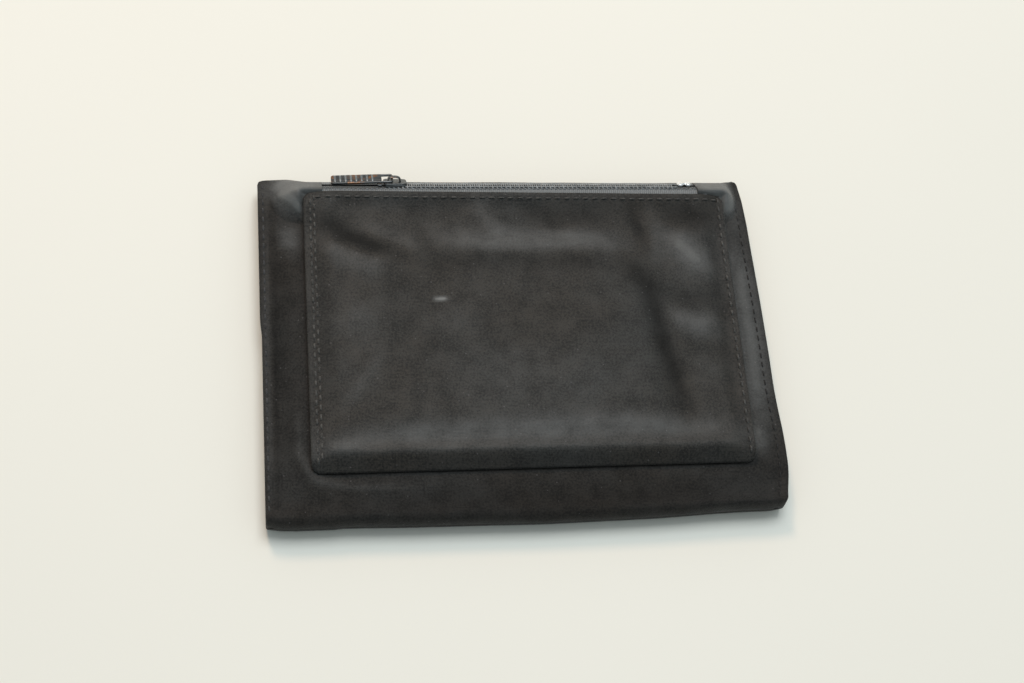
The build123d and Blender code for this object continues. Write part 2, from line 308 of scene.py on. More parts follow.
def edge_levels(low, high, radius, steps=3):
    """Heights and insets that round a slab's two rims, from its low face to its high one."""
    levels = [(low + radius - radius * math.cos(math.pi / 2 * k / steps),
               radius - radius * math.sin(math.pi / 2 * k / steps)) for k in range(steps + 1)]
    upper = [(low + high - height, inset) for height, inset in reversed(levels)]
    return levels + upper


# ---------------------------------------------------------------- fabric sheets

FABRIC_STEP = 1.0
BACK_STEP = 1.5
HEM_RADIUS = 0.6
HEM_TURN = 3.0
INNER_HEM_TURN = 2.0
SHELL_CORNER = 1.6
FAR_PAST_FOLD = -200.0


def wrapped(flat_x, flat_y, low, high, corner, radius):
    """Folds a flat sheet's margins under. Gives x, y and the drop below the surface, in mm."""
    middle = (np.asarray(low, float) + high) / 2
    half = (np.asarray(high, float) - low) / 2 - radius
    arc = max(corner - radius, 0.05)
    off_x = flat_x - middle[0]
    off_y = flat_y - middle[1]
    past_x = np.maximum(np.abs(off_x) - (half[0] - arc), 0)
    past_y = np.maximum(np.abs(off_y) - (half[1] - arc), 0)
    reach = np.hypot(past_x, past_y)
    beyond = np.maximum(reach - arc, 0)
    safe = np.maximum(reach, 1e-9)
    out_x = np.sign(off_x) * past_x / safe
    out_y = np.sign(off_y) * past_y / safe
    angle = np.minimum(beyond / radius, math.pi)
    back = radius * np.sin(angle) - np.maximum(beyond - math.pi * radius, 0)
    x = flat_x + out_x * (back - beyond)
    y = flat_y + out_y * (back - beyond)
    return x, y, radius * (1 - np.cos(angle))


def flat_values(low, high, step, margin_low=0.0, margin_high=0.0, fine=0.25):
    """Positions across a sheet, closer together in the margins that fold under."""
    count = max(2, int(round((high - low) / step)) + 1)
    values = list(np.linspace(low, high, count))
    if margin_low:
        extra = np.linspace(low - margin_low, low, int(margin_low / fine) + 1)[:-1]
        values = list(extra) + values
    if margin_high:
        extra = np.linspace(high, high + margin_high, int(margin_high / fine) + 1)[1:]
        values = values + list(extra)
    return np.array(values)


def fold_curve(distance, straight, radius, top):
    """The outer sheet's section from mid-spine, out along the fold and onto the half's face.

    distance runs from 0 at mid-spine. Gives y, z and the outward normal's y and z, for the
    cover (top True) or, mirrored, for the back."""
    arc = radius * math.pi / 2
    angle = np.clip((distance - straight) / radius, 0, math.pi / 2)
    past = np.maximum(distance - straight - arc, 0)
    y = FOLD_Y + radius * (1 - np.cos(angle)) + past
    rise = np.minimum(distance, straight) + radius * np.sin(angle)
    out_y = -np.cos(angle)
    out_z = np.sin(angle)
    if top:
        return y, MID_SPINE + rise, out_y, out_z
    return y, MID_SPINE - rise, out_y, -out_z


FOLD_ARC = 3.6
FOLD_STRAIGHT = MID_SPINE - FOLD_ARC
FOLD_RUN = FOLD_STRAIGHT + FOLD_ARC * math.pi / 2


def right_bulge(y):
    """How far the cover's right edge stands out past its straight line."""
    edge = 0.3 + 0.9 * ramp(-y, -45, 5) + 0.85 * hump(y, -36, 22) - 0.75 * ramp(y, 38, 54)
    return edge - 1.7 * ramp(-y, 40, 60)


def left_jog(y):
    """The cover's left edge steps out a little over its upper half."""
    return 0.55 * ramp(y, 1, 9)


def fold_sway(x):
    """The fold isn't straight: it bows out, steps at its left end and rounds off at its right."""
    bow = 0.85 * hump(x, -10, 70) - 0.7 - 0.75 * ramp(x, 25, 70)
    step = 0.3 * (1 - ramp(x, -57, -53)) * ramp(x, -75, -66)
    corner = -0.8 * ramp(x, 68, 76) ** 2 - 0.5 * ramp(-x, 70, 76)
    return 0.12 * np.sin(x / 17.0) + 0.06 * np.sin(x / 6.1 + 1) + bow + step + corner


def edge_sway(x):
    """The open edge is drawn in along the zipper and stands out at both ends."""
    return -0.55 + 1.1 * ramp(np.abs(x - 3), 63, 71)


def cover_droop(x, y):
    """The cover hangs lower at its open edge, towards its fold and a little at both ends."""
    ends = 0.95 * ramp(np.abs(x), 58, 76) ** 1.5 * (1 - 0.4 * ramp(-y, 40, 52))
    edge = 1.7 * ramp(y, 46, 56.5)
    fold = 1.3 * ramp(-y, 39, 56)
    return ends + edge + fold


# Folds set into the pocket's face by use: path, half width, height in mm and the colour mark, which paints
# highlight above 0 and shade below 0, with some wear and a white scuff
POCKET_FOLDS = (
    (((-59, 40), (-50, 33.5), (-43, 29.5), (-36, 27)), 3.0, -0.9, -1.15),
    (((-46, 37), (-40, 34), (-32, 31), (-29, 26)), 3.2, 0.35, 0.45),
    (((-58, 31), (-52, 26), (-44, 23), (-38, 24)), 3.6, 0.5, 0.7),
    (((-22, 32), (-10, 31), (8, 31), (22, 31.5), (34, 29)), 3.6, 0.35, 1.25),
    (((-36, 24.5), (-15, 24), (10, 24.5), (27, 23.5), (35, 19)), 3.6, -0.2, -0.45),
    (((-11, 45), (-8, 38), (0, 33)), 2.4, 0.3, 0.45),
    (((-1, 41), (15, 39), (34, 40.5)), 3.8, -0.2, -0.6),
    (((-34, 41), (-25, 40), (-16, 41)), 3.0, -0.15, -0.25),
    (((38, 45), (38.5, 37), (41, 29)), 2.0, -0.4, -0.7),
    (((42.5, 44), (45, 40), (44, 30), (42.5, 23)), 2.2, 0.25, 0.35),
    (((46, 39), (55, 39.5), (64, 38.5)), 3.2, -0.45, -0.8),
    (((48, 33), (53, 28), (59, 21.5)), 4.2, 0.6, 1.5),
    (((45, 14), (53, 11.5), (63, 13)), 3.6, -0.45, -0.75),
    (((46, 7), (52, 3), (59, 2)), 3.2, 0.45, 0.85),
    (((48, -4), (56, -5), (63, -8)), 4.0, -0.25, -0.3),
    (((33, 25), (39, 18), (41.5, 5), (44, -10), (48, -27)), 3.2, -0.5, -1.1),
    (((-58, -32.5), (-40, -30.5), (-10, -29.5), (25, -29), (50, -29.5), (62, -31)), 3.8, 0.2, 1.15),
    (((-58, -34), (-53, -33), (-46, -32)), 1.6, 0.2, 0.7),
    (((-53, -22), (-46, -12), (-41, -5)), 2.2, 0.25, 0.4),
    (((-51, 9), (-47, 1)), 5.0, 0.2, 0.25),
    (((-25, 9), (-15, 4)), 6.0, 0.15, 0.2),
    (((-25.5, 11.4), (-22.5, 11.6), (-19.5, 10.6)), 0.26, 0.04, 2.9),
    (((-35, 20), (-33, 5), (-30, -8)), 7.0, -0.15, -0.15),
    (((-57, 38), (-57.5, 10), (-57, -30)), 2.6, 0.0, -0.35),
    (((62.5, 42), (62.5, 10), (62, -30)), 1.8, 0.0, -0.3),
    (((52, 26), (54, 0), (54, -26)), 8.0, 0.0, 0.22),
    (((-24, -16), (6, -14), (30, -20)), 9.0, 0.0, 0.24),
    (((-44, 44), (-30, 44)), 3.0, 0.0, 0.2),
    (((-60, -38), (0, -38.3), (62, -38)), 1.7, 0.0, -0.4),
    (((-57, -34.6), (-20, -34.4), (30, -34.5), (62, -35)), 1.2, 0.0, 0.3),
    (((-50, 6), (-44, 8)), 6.0, 0.0, 0.22),
)

# The same for the cover, in the plan's x and y; here too the last column is mostly painted highlight and
# shade
COVER_FOLDS = (
    (((-68.6, 47.8), (-65.2, 45.1), (-62.4, 41.3)), 0.8, 0.35, 0.9),
    (((-67.5, 38), (-66, 30)), 3.2, 0.0, 1.0),
    (((-76, 51.5), (-68, 51), (-58, 51.5)), 3.8, 0.0, 1.2),
    (((60, 52), (69, 48), (71.5, 40)), 3.4, 0.0, 1.2),
    (((70, 36), (71, 0), (70.5, -30)), 4.2, 0.0, 1.5),
    (((69, -28), (68.8, -36)), 2.2, 0.3, 1.0),
    (((-65.8, -22), (-65.4, -34), (-61.3, -41.5), (-52, -44), (-30, -44.6)), 1.3, 0.35, 0.4),
    (((-68, -22), (-68.3, -34), (-63.5, -43.6)), 1.6, -0.2, -0.2),
    (((-70, -50), (0, -50), (68, -49)), 5.0, 0.0, -0.45),
    (((-69.5, 34), (-69.5, -20)), 2.4, 0.0, -0.3),
    (((-73.6, 46), (-73.6, -50)), 1.3, 0.0, 0.4),
    (((-71.4, 46), (-71.4, -48)), 0.8, 0.0, -0.5),
    (((-73, 46.5), (-69, 50), (-64.5, 53.4)), 1.3, -0.3, -0.2),
    (((66, -44.5), (71, -46), (74, -44)), 1.4, -0.22, 0.0),
)


def folded(x, y, folds):
    """The height and the painted shading, with wear, that a list of folds gives at each point."""
    height = np.zeros(np.shape(x))
    wear_and_shading = np.zeros(np.shape(x))
    for path, half_width, depth, amount in folds:
        shape = crease(x, y, path, half_width, 1.0)
        height += depth * shape
        wear_and_shading += amount * shape
    return height, wear_and_shading


def cover_relief(x, y):
    """The small hollows, creases and sewn lines of the cover's outer sheet, and its painted shading with
    wear.
    """
    height, wear_and_shading = folded(x, y, COVER_FOLDS)
    height += 0.2 * grain(x, y, 22, 1.0) + 0.1 * grain(x, y, 8, 2.0) + 0.02 * grain(x, y, 3.2, 2.5)
    return height, wear_and_shading


def sewn_groove(distance, depth=0.22, width=0.55):
    """The shallow channel that a row of stitches pulls into the fabric."""
    return -depth * np.exp(-(distance / width) ** 2)


def wrapped_grid(low, high, step, corner, radius):
    """A hemmed rectangle's flat grid, and its x, y and drop once its margins are folded under."""
    margin = math.pi * radius + INNER_HEM_TURN
    flat_x, flat_y = np.meshgrid(
        flat_values(low[0] + radius, high[0] - radius, step, margin, margin),
        flat_values(low[1] + radius, high[1] - radius, step, margin, margin),
    )
    return flat_x, flat_y, *wrapped(flat_x, flat_y, low[:2], high[:2], corner, radius)


def half_flat(step):
    """The flat grid of one half's outer sheet, and its length along the cover to the open edge."""
    margin = math.pi * HEM_RADIUS + HEM_TURN
    x_flat = flat_values(-HALF_WIDTH + HEM_RADIUS, HALF_WIDTH - HEM_RADIUS, step, margin, margin)
    run = FOLD_RUN + EDGE_Y - FOLD_Y - FOLD_ARC - HEM_RADIUS
    s_flat = np.concatenate([
        np.linspace(0, FOLD_RUN, 16)[:-1],
        flat_values(FOLD_RUN, run, step, 0, margin),
    ])
    flat_x, flat_s = np.meshgrid(x_flat, s_flat)
    x, s, drop = wrapped(flat_x, flat_s, (-HALF_WIDTH, FAR_PAST_FOLD), (HALF_WIDTH, run + HEM_RADIUS),
                         SHELL_CORNER, HEM_RADIUS)
    return flat_x, flat_s, x, s, drop


LEFT_ROW = 1.25
RIGHT_ROW = 2.75


def cover_cloth():
    """The cover's outer sheet, from mid-spine round the fold to its turned open edge."""
    flat_x, flat_s, x, s, drop = half_flat(FABRIC_STEP)
    y, z, out_y, out_z = fold_curve(s, FOLD_STRAIGHT, FOLD_ARC, True)
    across = x / HALF_WIDTH
    x = x + right_bulge(y) * ramp(across, 0.4, 1) - left_jog(y) * ramp(-across, 0.4, 1)
    y = y + edge_sway(x) * ramp(y, 44, 54)
    on_face = ramp(s, FOLD_RUN - 3, FOLD_RUN + 4)
    from_left = x + HALF_WIDTH + left_jog(y)
    from_right = HALF_WIDTH + right_bulge(y) - x
    relief, wear_and_shading = cover_relief(x, y)
    relief = relief * on_face
    relief += sewn_groove(from_left - LEFT_ROW) + sewn_groove(from_right - RIGHT_ROW)
    height = (relief - cover_droop(x, y) * on_face) - drop
    sway = fold_sway(x) * (1 - ramp(s, 2, FOLD_RUN + 2))
    y = y + out_y * height - sway
    z = z + out_z * height
    points = np.stack([x, y, z], axis=-1)
    obj = grid_object("cover_cloth", points, np.stack([flat_x, flat_s], axis=-1))
    set_wear_and_shading(obj, wear_and_shading)
    add_thickness(obj, 0.35)
    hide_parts("cover_shell", "spine_shell")
    return obj, (flat_x, flat_s)


def back_cloth():
    """The back's outer sheet, from mid-spine down round the fold and along the table."""
    flat_x, flat_s, x, s, drop = half_flat(BACK_STEP)
    y, z, out_y, out_z = fold_curve(s, FOLD_STRAIGHT, FOLD_ARC, False)
    across = x / HALF_WIDTH
    x = x + 0.35 * hump(y, -20, 50) * ramp(across, 0.4, 1)
    on_face = ramp(s, FOLD_RUN - 3, FOLD_RUN + 4)
    lift = np.abs(0.12 * grain(x, y, 26, 5.0)) * on_face
    row = np.minimum(np.abs(x + HALF_WIDTH - LEFT_ROW), np.abs(HALF_WIDTH - RIGHT_ROW - x))
    height = sewn_groove(row, 0.15) * on_face - drop - lift
    sway = fold_sway(x) * (1 - ramp(s, FOLD_RUN - 1, FOLD_RUN + 3))
    y = y + out_y * height - sway
    z = np.maximum(z + out_z * height, 0.02)
    points = np.stack([x, y, z], axis=-1)
    obj = grid_object("back_cloth", points, np.stack([flat_x, flat_s + 300], axis=-1))
    add_thickness(obj, 0.35, 1.0)
    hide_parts("back_shell")
    return obj, (flat_x, flat_s)


LINING_STEP = 2.0
LINING_SIDE = 1.8
LINING_FROM_FOLD = 1.0
LINING_END = 2.9
LINING_ARC = 2.6


def lining_sheet(name, top):
    """The inner sheet of one half, from mid-spine to under the shell's turned edges."""
    level = (COVER_LINING_TOP if top else BACK_LINING_TOP) - 0.15
    x_flat = flat_values(-HALF_WIDTH + LINING_SIDE, HALF_WIDTH - LINING_SIDE, LINING_STEP)
    straight = abs(level - MID_SPINE) - LINING_ARC
    run = straight + LINING_ARC * math.pi / 2
    s_flat = np.concatenate([
        np.linspace(0, run, 12)[:-1],
        flat_values(run, run + EDGE_Y - FOLD_Y - LINING_ARC - LINING_END, LINING_STEP),
    ])
    x, s = np.meshgrid(x_flat, s_flat)
    y, z, out_y, out_z = fold_curve(s, straight, LINING_ARC, top)
    y = y + LINING_FROM_FOLD - fold_sway(x) * (1 - ramp(s, run - 1, run + 4))
    on_face = ramp(s, run - 2, run + 5)
    ripple = 0.1 * grain(x, y, 20, 7.0 if top else 8.0) * on_face
    if top:
        rim = np.maximum(ramp(np.abs(x), 67.5, 71), ramp(y, 45, 49)) * on_face
        relief, _ = cover_relief(x, y)
        z = z - cover_droop(x, y) * (0.9 + 0.1 * rim) * on_face + ripple * (1 - rim) + (relief - 0.08) * rim
    else:
        z = z + np.abs(ripple)
    points = np.stack([x, y, z], axis=-1)
    obj = grid_object(name, points, np.stack([x, s], axis=-1))
    add_thickness(obj, 0.25, 0.0)
    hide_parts(*(("cover_lining", "spine_lining") if top else ("back_lining",)))
    return obj, (x, s)


def wall(name, path, foot, top, bulge, uv_shift):
    """A strip of fabric standing along a path, its middle drawn in by bulge."""
    path = np.asarray(path, float)
    along = np.gradient(path, axis=0)
    outward = np.stack([along[:, 1], -along[:, 0]], axis=1)
    outward /= np.linalg.norm(outward, axis=1)[:, None]
    facing = np.sign(((path - path.mean(axis=0)) * outward).sum(axis=1))
    outward *= facing[:, None]
    rows = []
    for t in np.linspace(0, 1, 9):
        place = path - outward * bulge * math.sin(math.pi * t) ** 2
        rows.append(np.column_stack([place, foot + (top - foot) * t]))
    run = np.concatenate([[0], np.cumsum(np.linalg.norm(np.diff(path, axis=0), axis=1))])
    uv = np.stack(np.meshgrid(run + uv_shift, np.linspace(0, float(np.mean(top - foot)), 9)), axis=-1)
    return grid_object(name, np.array(rows), uv)


def open_loop(left, right_foot, right_mouth, foot_y, mouth_y, corner):
    """The plan of a gusset: down one side, round two corners and up the other side."""
    path = [(left, y) for y in np.linspace(mouth_y, foot_y + corner, 40)]
    for a in np.linspace(0, math.pi / 2, 8)[1:]:
        path.append((left + corner * (1 - math.cos(a)), foot_y + corner * (1 - math.sin(a))))
    path += [(x, foot_y) for x in np.linspace(left + corner, right_foot - corner, 60)[1:]]
    for a in np.linspace(0, math.pi / 2, 8)[1:]:
        path.append((right_foot - corner * (1 - math.sin(a)), foot_y + corner * (1 - math.cos(a))))
    for t in np.linspace(0, 1, 40)[1:]:
        y = foot_y + corner + (mouth_y - foot_y - corner) * t
        path.append((right_foot + (right_mouth - right_foot) * t, y))
    return np.array(path)


# ---------------------------------------------------------------- front pocket

PANEL_RADIUS = 0.5
PANEL_TURN = 2.0
SEAM_BAND = 2.4
PANEL_STEP = 1.2
CONTENTS_X = (-54.0, 43.0)
CONTENTS_Y = (-31.5, 31.5)
CONTENTS_TOP = 13.6
HEM_ROW = 2.0
LEFT_SEAM_ROWS = (2.0, 3.2)
RIGHT_SEAM_ROW = 1.75
SIM_SCALE = 10.0
SIM_FRAMES = 34
MOVE_CAP = 1.6
CALM_PASSES = 5


def panel_right(y):
    """The pocket's right edge, which leans out a little towards the zipper."""
    return PANEL_RIGHT - PANEL_TAPER * (PANEL_HEM_Y - y) / (PANEL_HEM_Y - PANEL_FOLD_Y)


def hem_sag(x):
    """The pocket's mouth is drawn towards the fold, more at its right end."""
    return 0.2 + 1.05 * np.clip((np.asarray(x, float) - PANEL_LEFT) / 110, 0, 1)


def panel_height(x, y):
    """The pocket's face before it sags: high in the middle, pinched along its sewn sides."""
    from_left = x - PANEL_LEFT
    from_right = panel_right(y) - x
    from_fold = y - PANEL_FOLD_Y
    from_hem = PANEL_HEM_Y - y
    near_hem = 0.45 + 0.55 * ramp(from_hem, 0, 17)
    left = 1.9 * near_hem * (1 - ramp(from_left, SEAM_BAND - 0.6, 8.5))
    right = 1.9 * near_hem * (1 - ramp(from_right, SEAM_BAND - 0.9, 8))
    facet = 6.6 - 1.2 * ramp(x, -50, 60)
    fold = 4.1 * (1 - ramp(from_fold, -1.5, facet))
    lost = (left ** 3 + right ** 3 + fold ** 3) ** (1 / 3)
    return PANEL_TOP - 0.25 - lost - 0.12 * ramp(-from_hem, -4, 0)


def panel_grid(step):
    """The panel's flat points, and where they lie once its margins are folded under."""
    margin = math.pi * PANEL_RADIUS + PANEL_TURN
    low = (PANEL_LEFT, PANEL_FOLD_Y)
    high = (PANEL_RIGHT, PANEL_HEM_Y)
    x_flat = flat_values(low[0] + PANEL_RADIUS, high[0] - PANEL_RADIUS, step, margin, margin)
    y_flat = flat_values(low[1] + PANEL_RADIUS, high[1] - PANEL_RADIUS, step, margin, margin)
    flat_x, flat_y = np.meshgrid(x_flat, y_flat)
    x, y, drop = wrapped(flat_x, flat_y, low, high, 2.6, PANEL_RADIUS)
    lean = PANEL_TAPER * (PANEL_HEM_Y - y) / (high[1] - low[1])
    x = x - lean * ramp((x - low[0]) / (high[0] - low[0]), 0.0, 1.0)
    y = y - hem_sag(x) * ramp(y, PANEL_HEM_Y - 22, PANEL_HEM_Y - 2)
    return flat_x, flat_y, x, y, drop


def draped_heights(x, y, drop, start):
    """Lets the panel fall, pinned along its seams, over what the pocket holds.

    The cloth is simulated ten times larger, where the solver's distances suit it."""
    points = np.stack([x, y, start - drop], axis=-1)
    rows, columns = x.shape
    cloth = mesh_object("drape", points * SIM_SCALE, grid_faces(rows, columns))
    seam = np.minimum.reduce([
        x - PANEL_LEFT - SEAM_BAND,
        panel_right(y) - x - SEAM_BAND + 0.5,
        y - PANEL_FOLD_Y - 5.5,
        PANEL_HEM_Y - hem_sag(x) - y - HEM_ROW - 0.8,
    ])
    held = (drop > 0) | (seam < 0)
    group = cloth.vertex_groups.new(name="held")
    group.add([int(i) for i in np.flatnonzero(held.ravel())], 1.0, "REPLACE")

    contents = contents_block()
    settings = cloth.modifiers.new("cloth", "CLOTH")
    settings.settings.quality = 7
    settings.settings.mass = 0.25
    settings.settings.tension_stiffness = 12
    settings.settings.compression_stiffness = 12
    settings.settings.shear_stiffness = 6
    settings.settings.bending_stiffness = 1.4
    settings.settings.vertex_group_mass = "held"
    settings.settings.shrink_min = -0.012
    settings.collision_settings.distance_min = 0.003
    settings.collision_settings.use_self_collision = False
    settings.point_cache.frame_start = 1
    settings.point_cache.frame_end = SIM_FRAMES
    scene = bpy.context.scene
    for number in range(1, SIM_FRAMES + 1):
        scene.frame_set(number)
    graph = bpy.context.evaluated_depsgraph_get()
    shown = cloth.evaluated_get(graph).to_mesh()
    moved = np.zeros(len(shown.vertices) * 3, np.float32)
    shown.vertices.foreach_get("co", moved)
    cloth.evaluated_get(graph).to_mesh_clear()
    for obj in (cloth, contents):
        bpy.data.objects.remove(obj)
    scene.frame_set(1)
    moved = moved.reshape(rows, columns, 3).astype(float) / MM / SIM_SCALE
    change = np.clip(moved - points, -MOVE_CAP, MOVE_CAP)
    for _ in range(CALM_PASSES):
        padded = np.pad(change, ((1, 1), (1, 1), (0, 0)), "edge")
        neighbours = padded[:-2, 1:-1] + padded[2:, 1:-1] + padded[1:-1, :-2] + padded[1:-1, 2:]
        change = (neighbours + 4 * change) / 8
    return points + change * ~held[..., None]


def contents_block():
    """What the pocket holds: folded papers, crowned and with soft edges, for the panel to fall over."""
    x, y = np.meshgrid(
        np.linspace(CONTENTS_X[0] - 6, CONTENTS_X[1] + 6, 70),
        np.linspace(CONTENTS_Y[0] - 6, CONTENTS_Y[1] + 6, 50),
    )
    turn = math.radians(-2.5)
    along = x * math.cos(turn) + y * math.sin(turn)
    up = y * math.cos(turn) - x * math.sin(turn)
    right = CONTENTS_X[1] - 0.08 * up - along
    edge = np.minimum.reduce([
        (along - CONTENTS_X[0]) * 0.5, right * 0.8, (up - CONTENTS_Y[0]) * 0.8, CONTENTS_Y[1] - up,
    ])
    z = CONTENTS_TOP - 1.5 * (1 - ramp(edge, -3.5, 5.5)) - 0.35 * (1 - ramp(edge, 0, 24))
    block = grid_object("contents", np.stack([x, y, z + 0.12 * grain(x, y, 22, 14.0)], axis=-1) * SIM_SCALE)
    block.modifiers.new("collision", "COLLISION")
    block.collision.thickness_outer = 0.004
    return block


def front_pocket():
    """The pocket's face: draped, then creased, then pulled in along its stitches."""
    flat_x, flat_y, x, y, drop = panel_grid(PANEL_STEP)
    start = panel_height(x, y)
    points = draped_heights(x, y, drop, start)
    x, y = points[..., 0], points[..., 1]
    inside = np.minimum(x - PANEL_LEFT, panel_right(y) - x)
    free = ramp(inside, 1.5, 6) * ramp(PANEL_HEM_Y - y, 1.5, 6) * ramp(y - PANEL_FOLD_Y, 0.5, 6)
    relief, wear_and_shading = folded(x, y, POCKET_FOLDS)
    relief = relief * free
    relief += (0.3 * grain(x, y, 17, 11.0) + 0.09 * grain(x, y, 6.5, 12.0)) * (0.2 + 0.8 * free)
    relief += 0.05 * grain(x, y, 2.6, 13.0) * (1 - ramp(drop, 0, 0.2))
    relief += sewn_groove(x - PANEL_LEFT - LEFT_SEAM_ROWS[0], 0.16, 0.45)
    relief += sewn_groove(x - PANEL_LEFT - LEFT_SEAM_ROWS[1], 0.3, 0.5)
    relief += sewn_groove(panel_right(y) - x - RIGHT_SEAM_ROW, 0.3, 0.6)
    relief += sewn_groove(PANEL_HEM_Y - hem_sag(x) - y - HEM_ROW, 0.25, 0.55)
    points[..., 2] = np.minimum(points[..., 2] + relief, PANEL_TOP + 0.6)
    obj = grid_object("front_pocket", points, np.stack([flat_x + 400, flat_y], axis=-1))
    set_wear_and_shading(obj, wear_and_shading)
    smoother(obj)
    add_thickness(obj, 0.35)
    settled(obj, "pocket_nylon", "cover", "front_pocket_panel", "front_pocket_hem")
    return obj, (flat_x, flat_y)


def pocket_gusset():
    """The folded strip between the pocket's face and the cover, set back under the face."""
    inset = 1.1
    path = open_loop(
        PANEL_LEFT + inset, panel_right(PANEL_FOLD_Y) - inset, panel_right(PANEL_HEM_Y) - inset,
        PANEL_FOLD_Y + inset, PANEL_HEM_Y - 1, 3.0)
    x, y = path.T
    top = panel_height(x, y) - PANEL_RADIUS * 2 + 0.25
    foot = COVER_TOP - cover_droop(x, y) - 0.25
    obj = wall("pocket_gusset", path, foot, top, 0.9, 600)
    add_thickness(obj, 0.3, 0.0)
    return settled(obj, "pocket_nylon", "cover", "front_pocket_gusset")


# ---------------------------------------------------------------- zipper

TAPE_LEFT, TAPE_RIGHT = TAPE_FRONT_LOW[0], TAPE_FRONT_HIGH[0]
BAND_HEAD_DOWN = -4.1
BAND_FOOT_DOWN = 4.85
CHAIN_GAP = 0.55
COIL_PITCH = 1.37
COIL_OUTER = 1.75
COIL_REACH = 0.55
COIL_SHIFT = -0.8
COIL_FOOT = -0.2
COIL_LEFT, COIL_RIGHT = node_box("zipper_coil_back")[0][0], STOP_LOW[0] - 0.3


def tape(name, node, down_values, lift, uv_shift):
    """One woven tape along the band. lift(down) is its height out of the band."""
    x, down = np.meshgrid(np.linspace(TAPE_LEFT - 0.6, TAPE_RIGHT + 0.6, 121), down_values)
    out = lift(down) + 0.05 * np.sin(x / 3.1) * np.sin(x / 7.7 + 1) + 0.08 * grain(x, down, 9, uv_shift)
    points = [[band_point(a, d, w) for a, d, w in zip(*row)] for row in zip(x, down, out)]
    obj = grid_object(name, np.array([[tuple(p) for p in row] for row in points]),
                      np.stack([x + uv_shift * 10, down], axis=-1))
    add_thickness(obj, 0.35, 0.0)
    smoother(obj)
    return settled(obj, "zipper_tape", "cover", node)


def zipper_tapes():
    front = tape(
        "zip_tape_front", "zipper_tape_front",
        np.linspace(BAND_HEAD_DOWN - 1.1, -CHAIN_GAP, 16),
        lambda down: (-1.1 * (1 - ramp(down, BAND_HEAD_DOWN - 0.4, -2.2))
                      - 1.5 * np.maximum(BAND_HEAD_DOWN - down, 0)), 80.0)
    back = tape(
        "zip_tape_back", "zipper_tape_back",
        np.linspace(CHAIN_GAP, BAND_FOOT_DOWN + 0.25, 12),
        lambda down: -0.75 * ramp(down, 2.4, BAND_FOOT_DOWN + 0.2), 90.0)
    return front, back


def coil_tooth(x, side):
    """One turn of the coil: it leaves the tape, arches over and hooks past the middle."""
    profile = [
        (COIL_OUTER, 0.1), (COIL_OUTER + 0.08, 0.36), (COIL_OUTER - 0.35, 0.62), (0.9, 0.7),
        (0.2, 0.72), (-COIL_REACH + 0.12, 0.68), (-COIL_REACH - 0.08, 0.5), (-COIL_REACH + 0.25, 0.34),
        (0.4, 0.3),
    ]
    lean = 0.22
    path = [band_point(x + lean * k / len(profile), side * d + COIL_SHIFT, w + COIL_FOOT)
            for k, (d, w) in enumerate(profile)]
    return tube(path, 0.25, 6, across=Vector((1, 0, 0)))


def zipper_coils():
    rows = []
    for side, node in ((-1, "zipper_coil_front"), (1, "zipper_coil_back")):
        shift = 0.35 + (COIL_PITCH / 2 if side < 0 else 0)
        count = int((COIL_RIGHT - COIL_LEFT - shift) / COIL_PITCH)
        teeth = [coil_tooth(COIL_LEFT + shift + COIL_PITCH * i, side) for i in range(count)]
        core = [band_point(x, side * 1.15 + COIL_SHIFT, 0.4) for x in np.linspace(COIL_LEFT, COIL_RIGHT, 60)]
        teeth.append(tube(core, 0.22, 6))
        row = joined(node.replace("zipper_coil", "coil"), teeth)
        rows.append(settled(row, "zipper_coil", "cover", node))
    return rows


PATCH_FOOT = 9.5


def end_patches():
    """Shell fabric over both ends of the band, falling away to the cover beyond them."""
    patches = []
    for name, side, pocket_edge, reach_out, inner in (
        ("band_end_left", -1, PANEL_LEFT, 10.5, TAPE_LEFT + 0.5),
        ("band_end_right", 1, PANEL_RIGHT, 6.2, STOP_HIGH[0] + 1.4),
    ):
        x_line = np.linspace(pocket_edge + side * reach_out, inner, 48)
        reach_up = EDGE_Y + edge_sway(x_line) - 0.5 - PANEL_HEM_Y
        share = np.linspace(0, 1, 48)[:, None]
        down = -PATCH_FOOT + share * (reach_up + PATCH_FOOT)
        x = np.broadcast_to(x_line, down.shape)
        y = PANEL_HEM_Y + down
        band = BAND_CENTRE.z + (BAND_CENTRE.y - y) * math.tan(math.asin(-BAND_DOWN.z)) + 0.35
        hem_level = panel_height(x, np.full_like(y, PANEL_HEM_Y)) - 2 * PANEL_RADIUS - 0.2
        clear = 2.2 * ramp(down + 0.8 * hem_sag(x), -0.6, 0.9) + 3 * ramp(side * (x - pocket_edge), -0.4, 1.6)
        band = np.minimum(band, hem_level + clear)
        outside = np.maximum(side * (x - pocket_edge), 0) / reach_out
        below = np.maximum(-down, 0) / PATCH_FOOT
        away = np.hypot(outside, below)
        relief, wear_and_shading = cover_relief(x, y)
        shell = COVER_TOP - cover_droop(x, y) + relief
        rise = np.maximum(band - shell, 0) * (1 - ramp(away, 0.0, 0.95))
        rise = rise * (1 - ramp(down, reach_up - 1.6, reach_up + 0.3))
        border = np.maximum(ramp(away, 0.8, 1.0), ramp(share, 0.97, 1.0))
        z = shell + rise + 0.06 - 0.4 * border
        cloth_place = np.stack([x, y + FOLD_RUN - FOLD_Y - FOLD_ARC], axis=-1)
        obj = grid_object(name, np.stack([x, y, z], axis=-1), cloth_place)
        # Painted light: the patches are paled towards the band, against the shade that falls on their slopes
        # away from the lamps.
        set_wear_and_shading(obj, np.minimum(wear_and_shading + 1.45 * (1 - ramp(away, 0.45, 1.0)), 2.1))
        add_thickness(obj, 0.3, -1.0 if side > 0 else 1.0)
        smoother(obj)
        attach(obj, "cover")
        patches.append(obj)
    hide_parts("zipper_end_patches")
    return patches


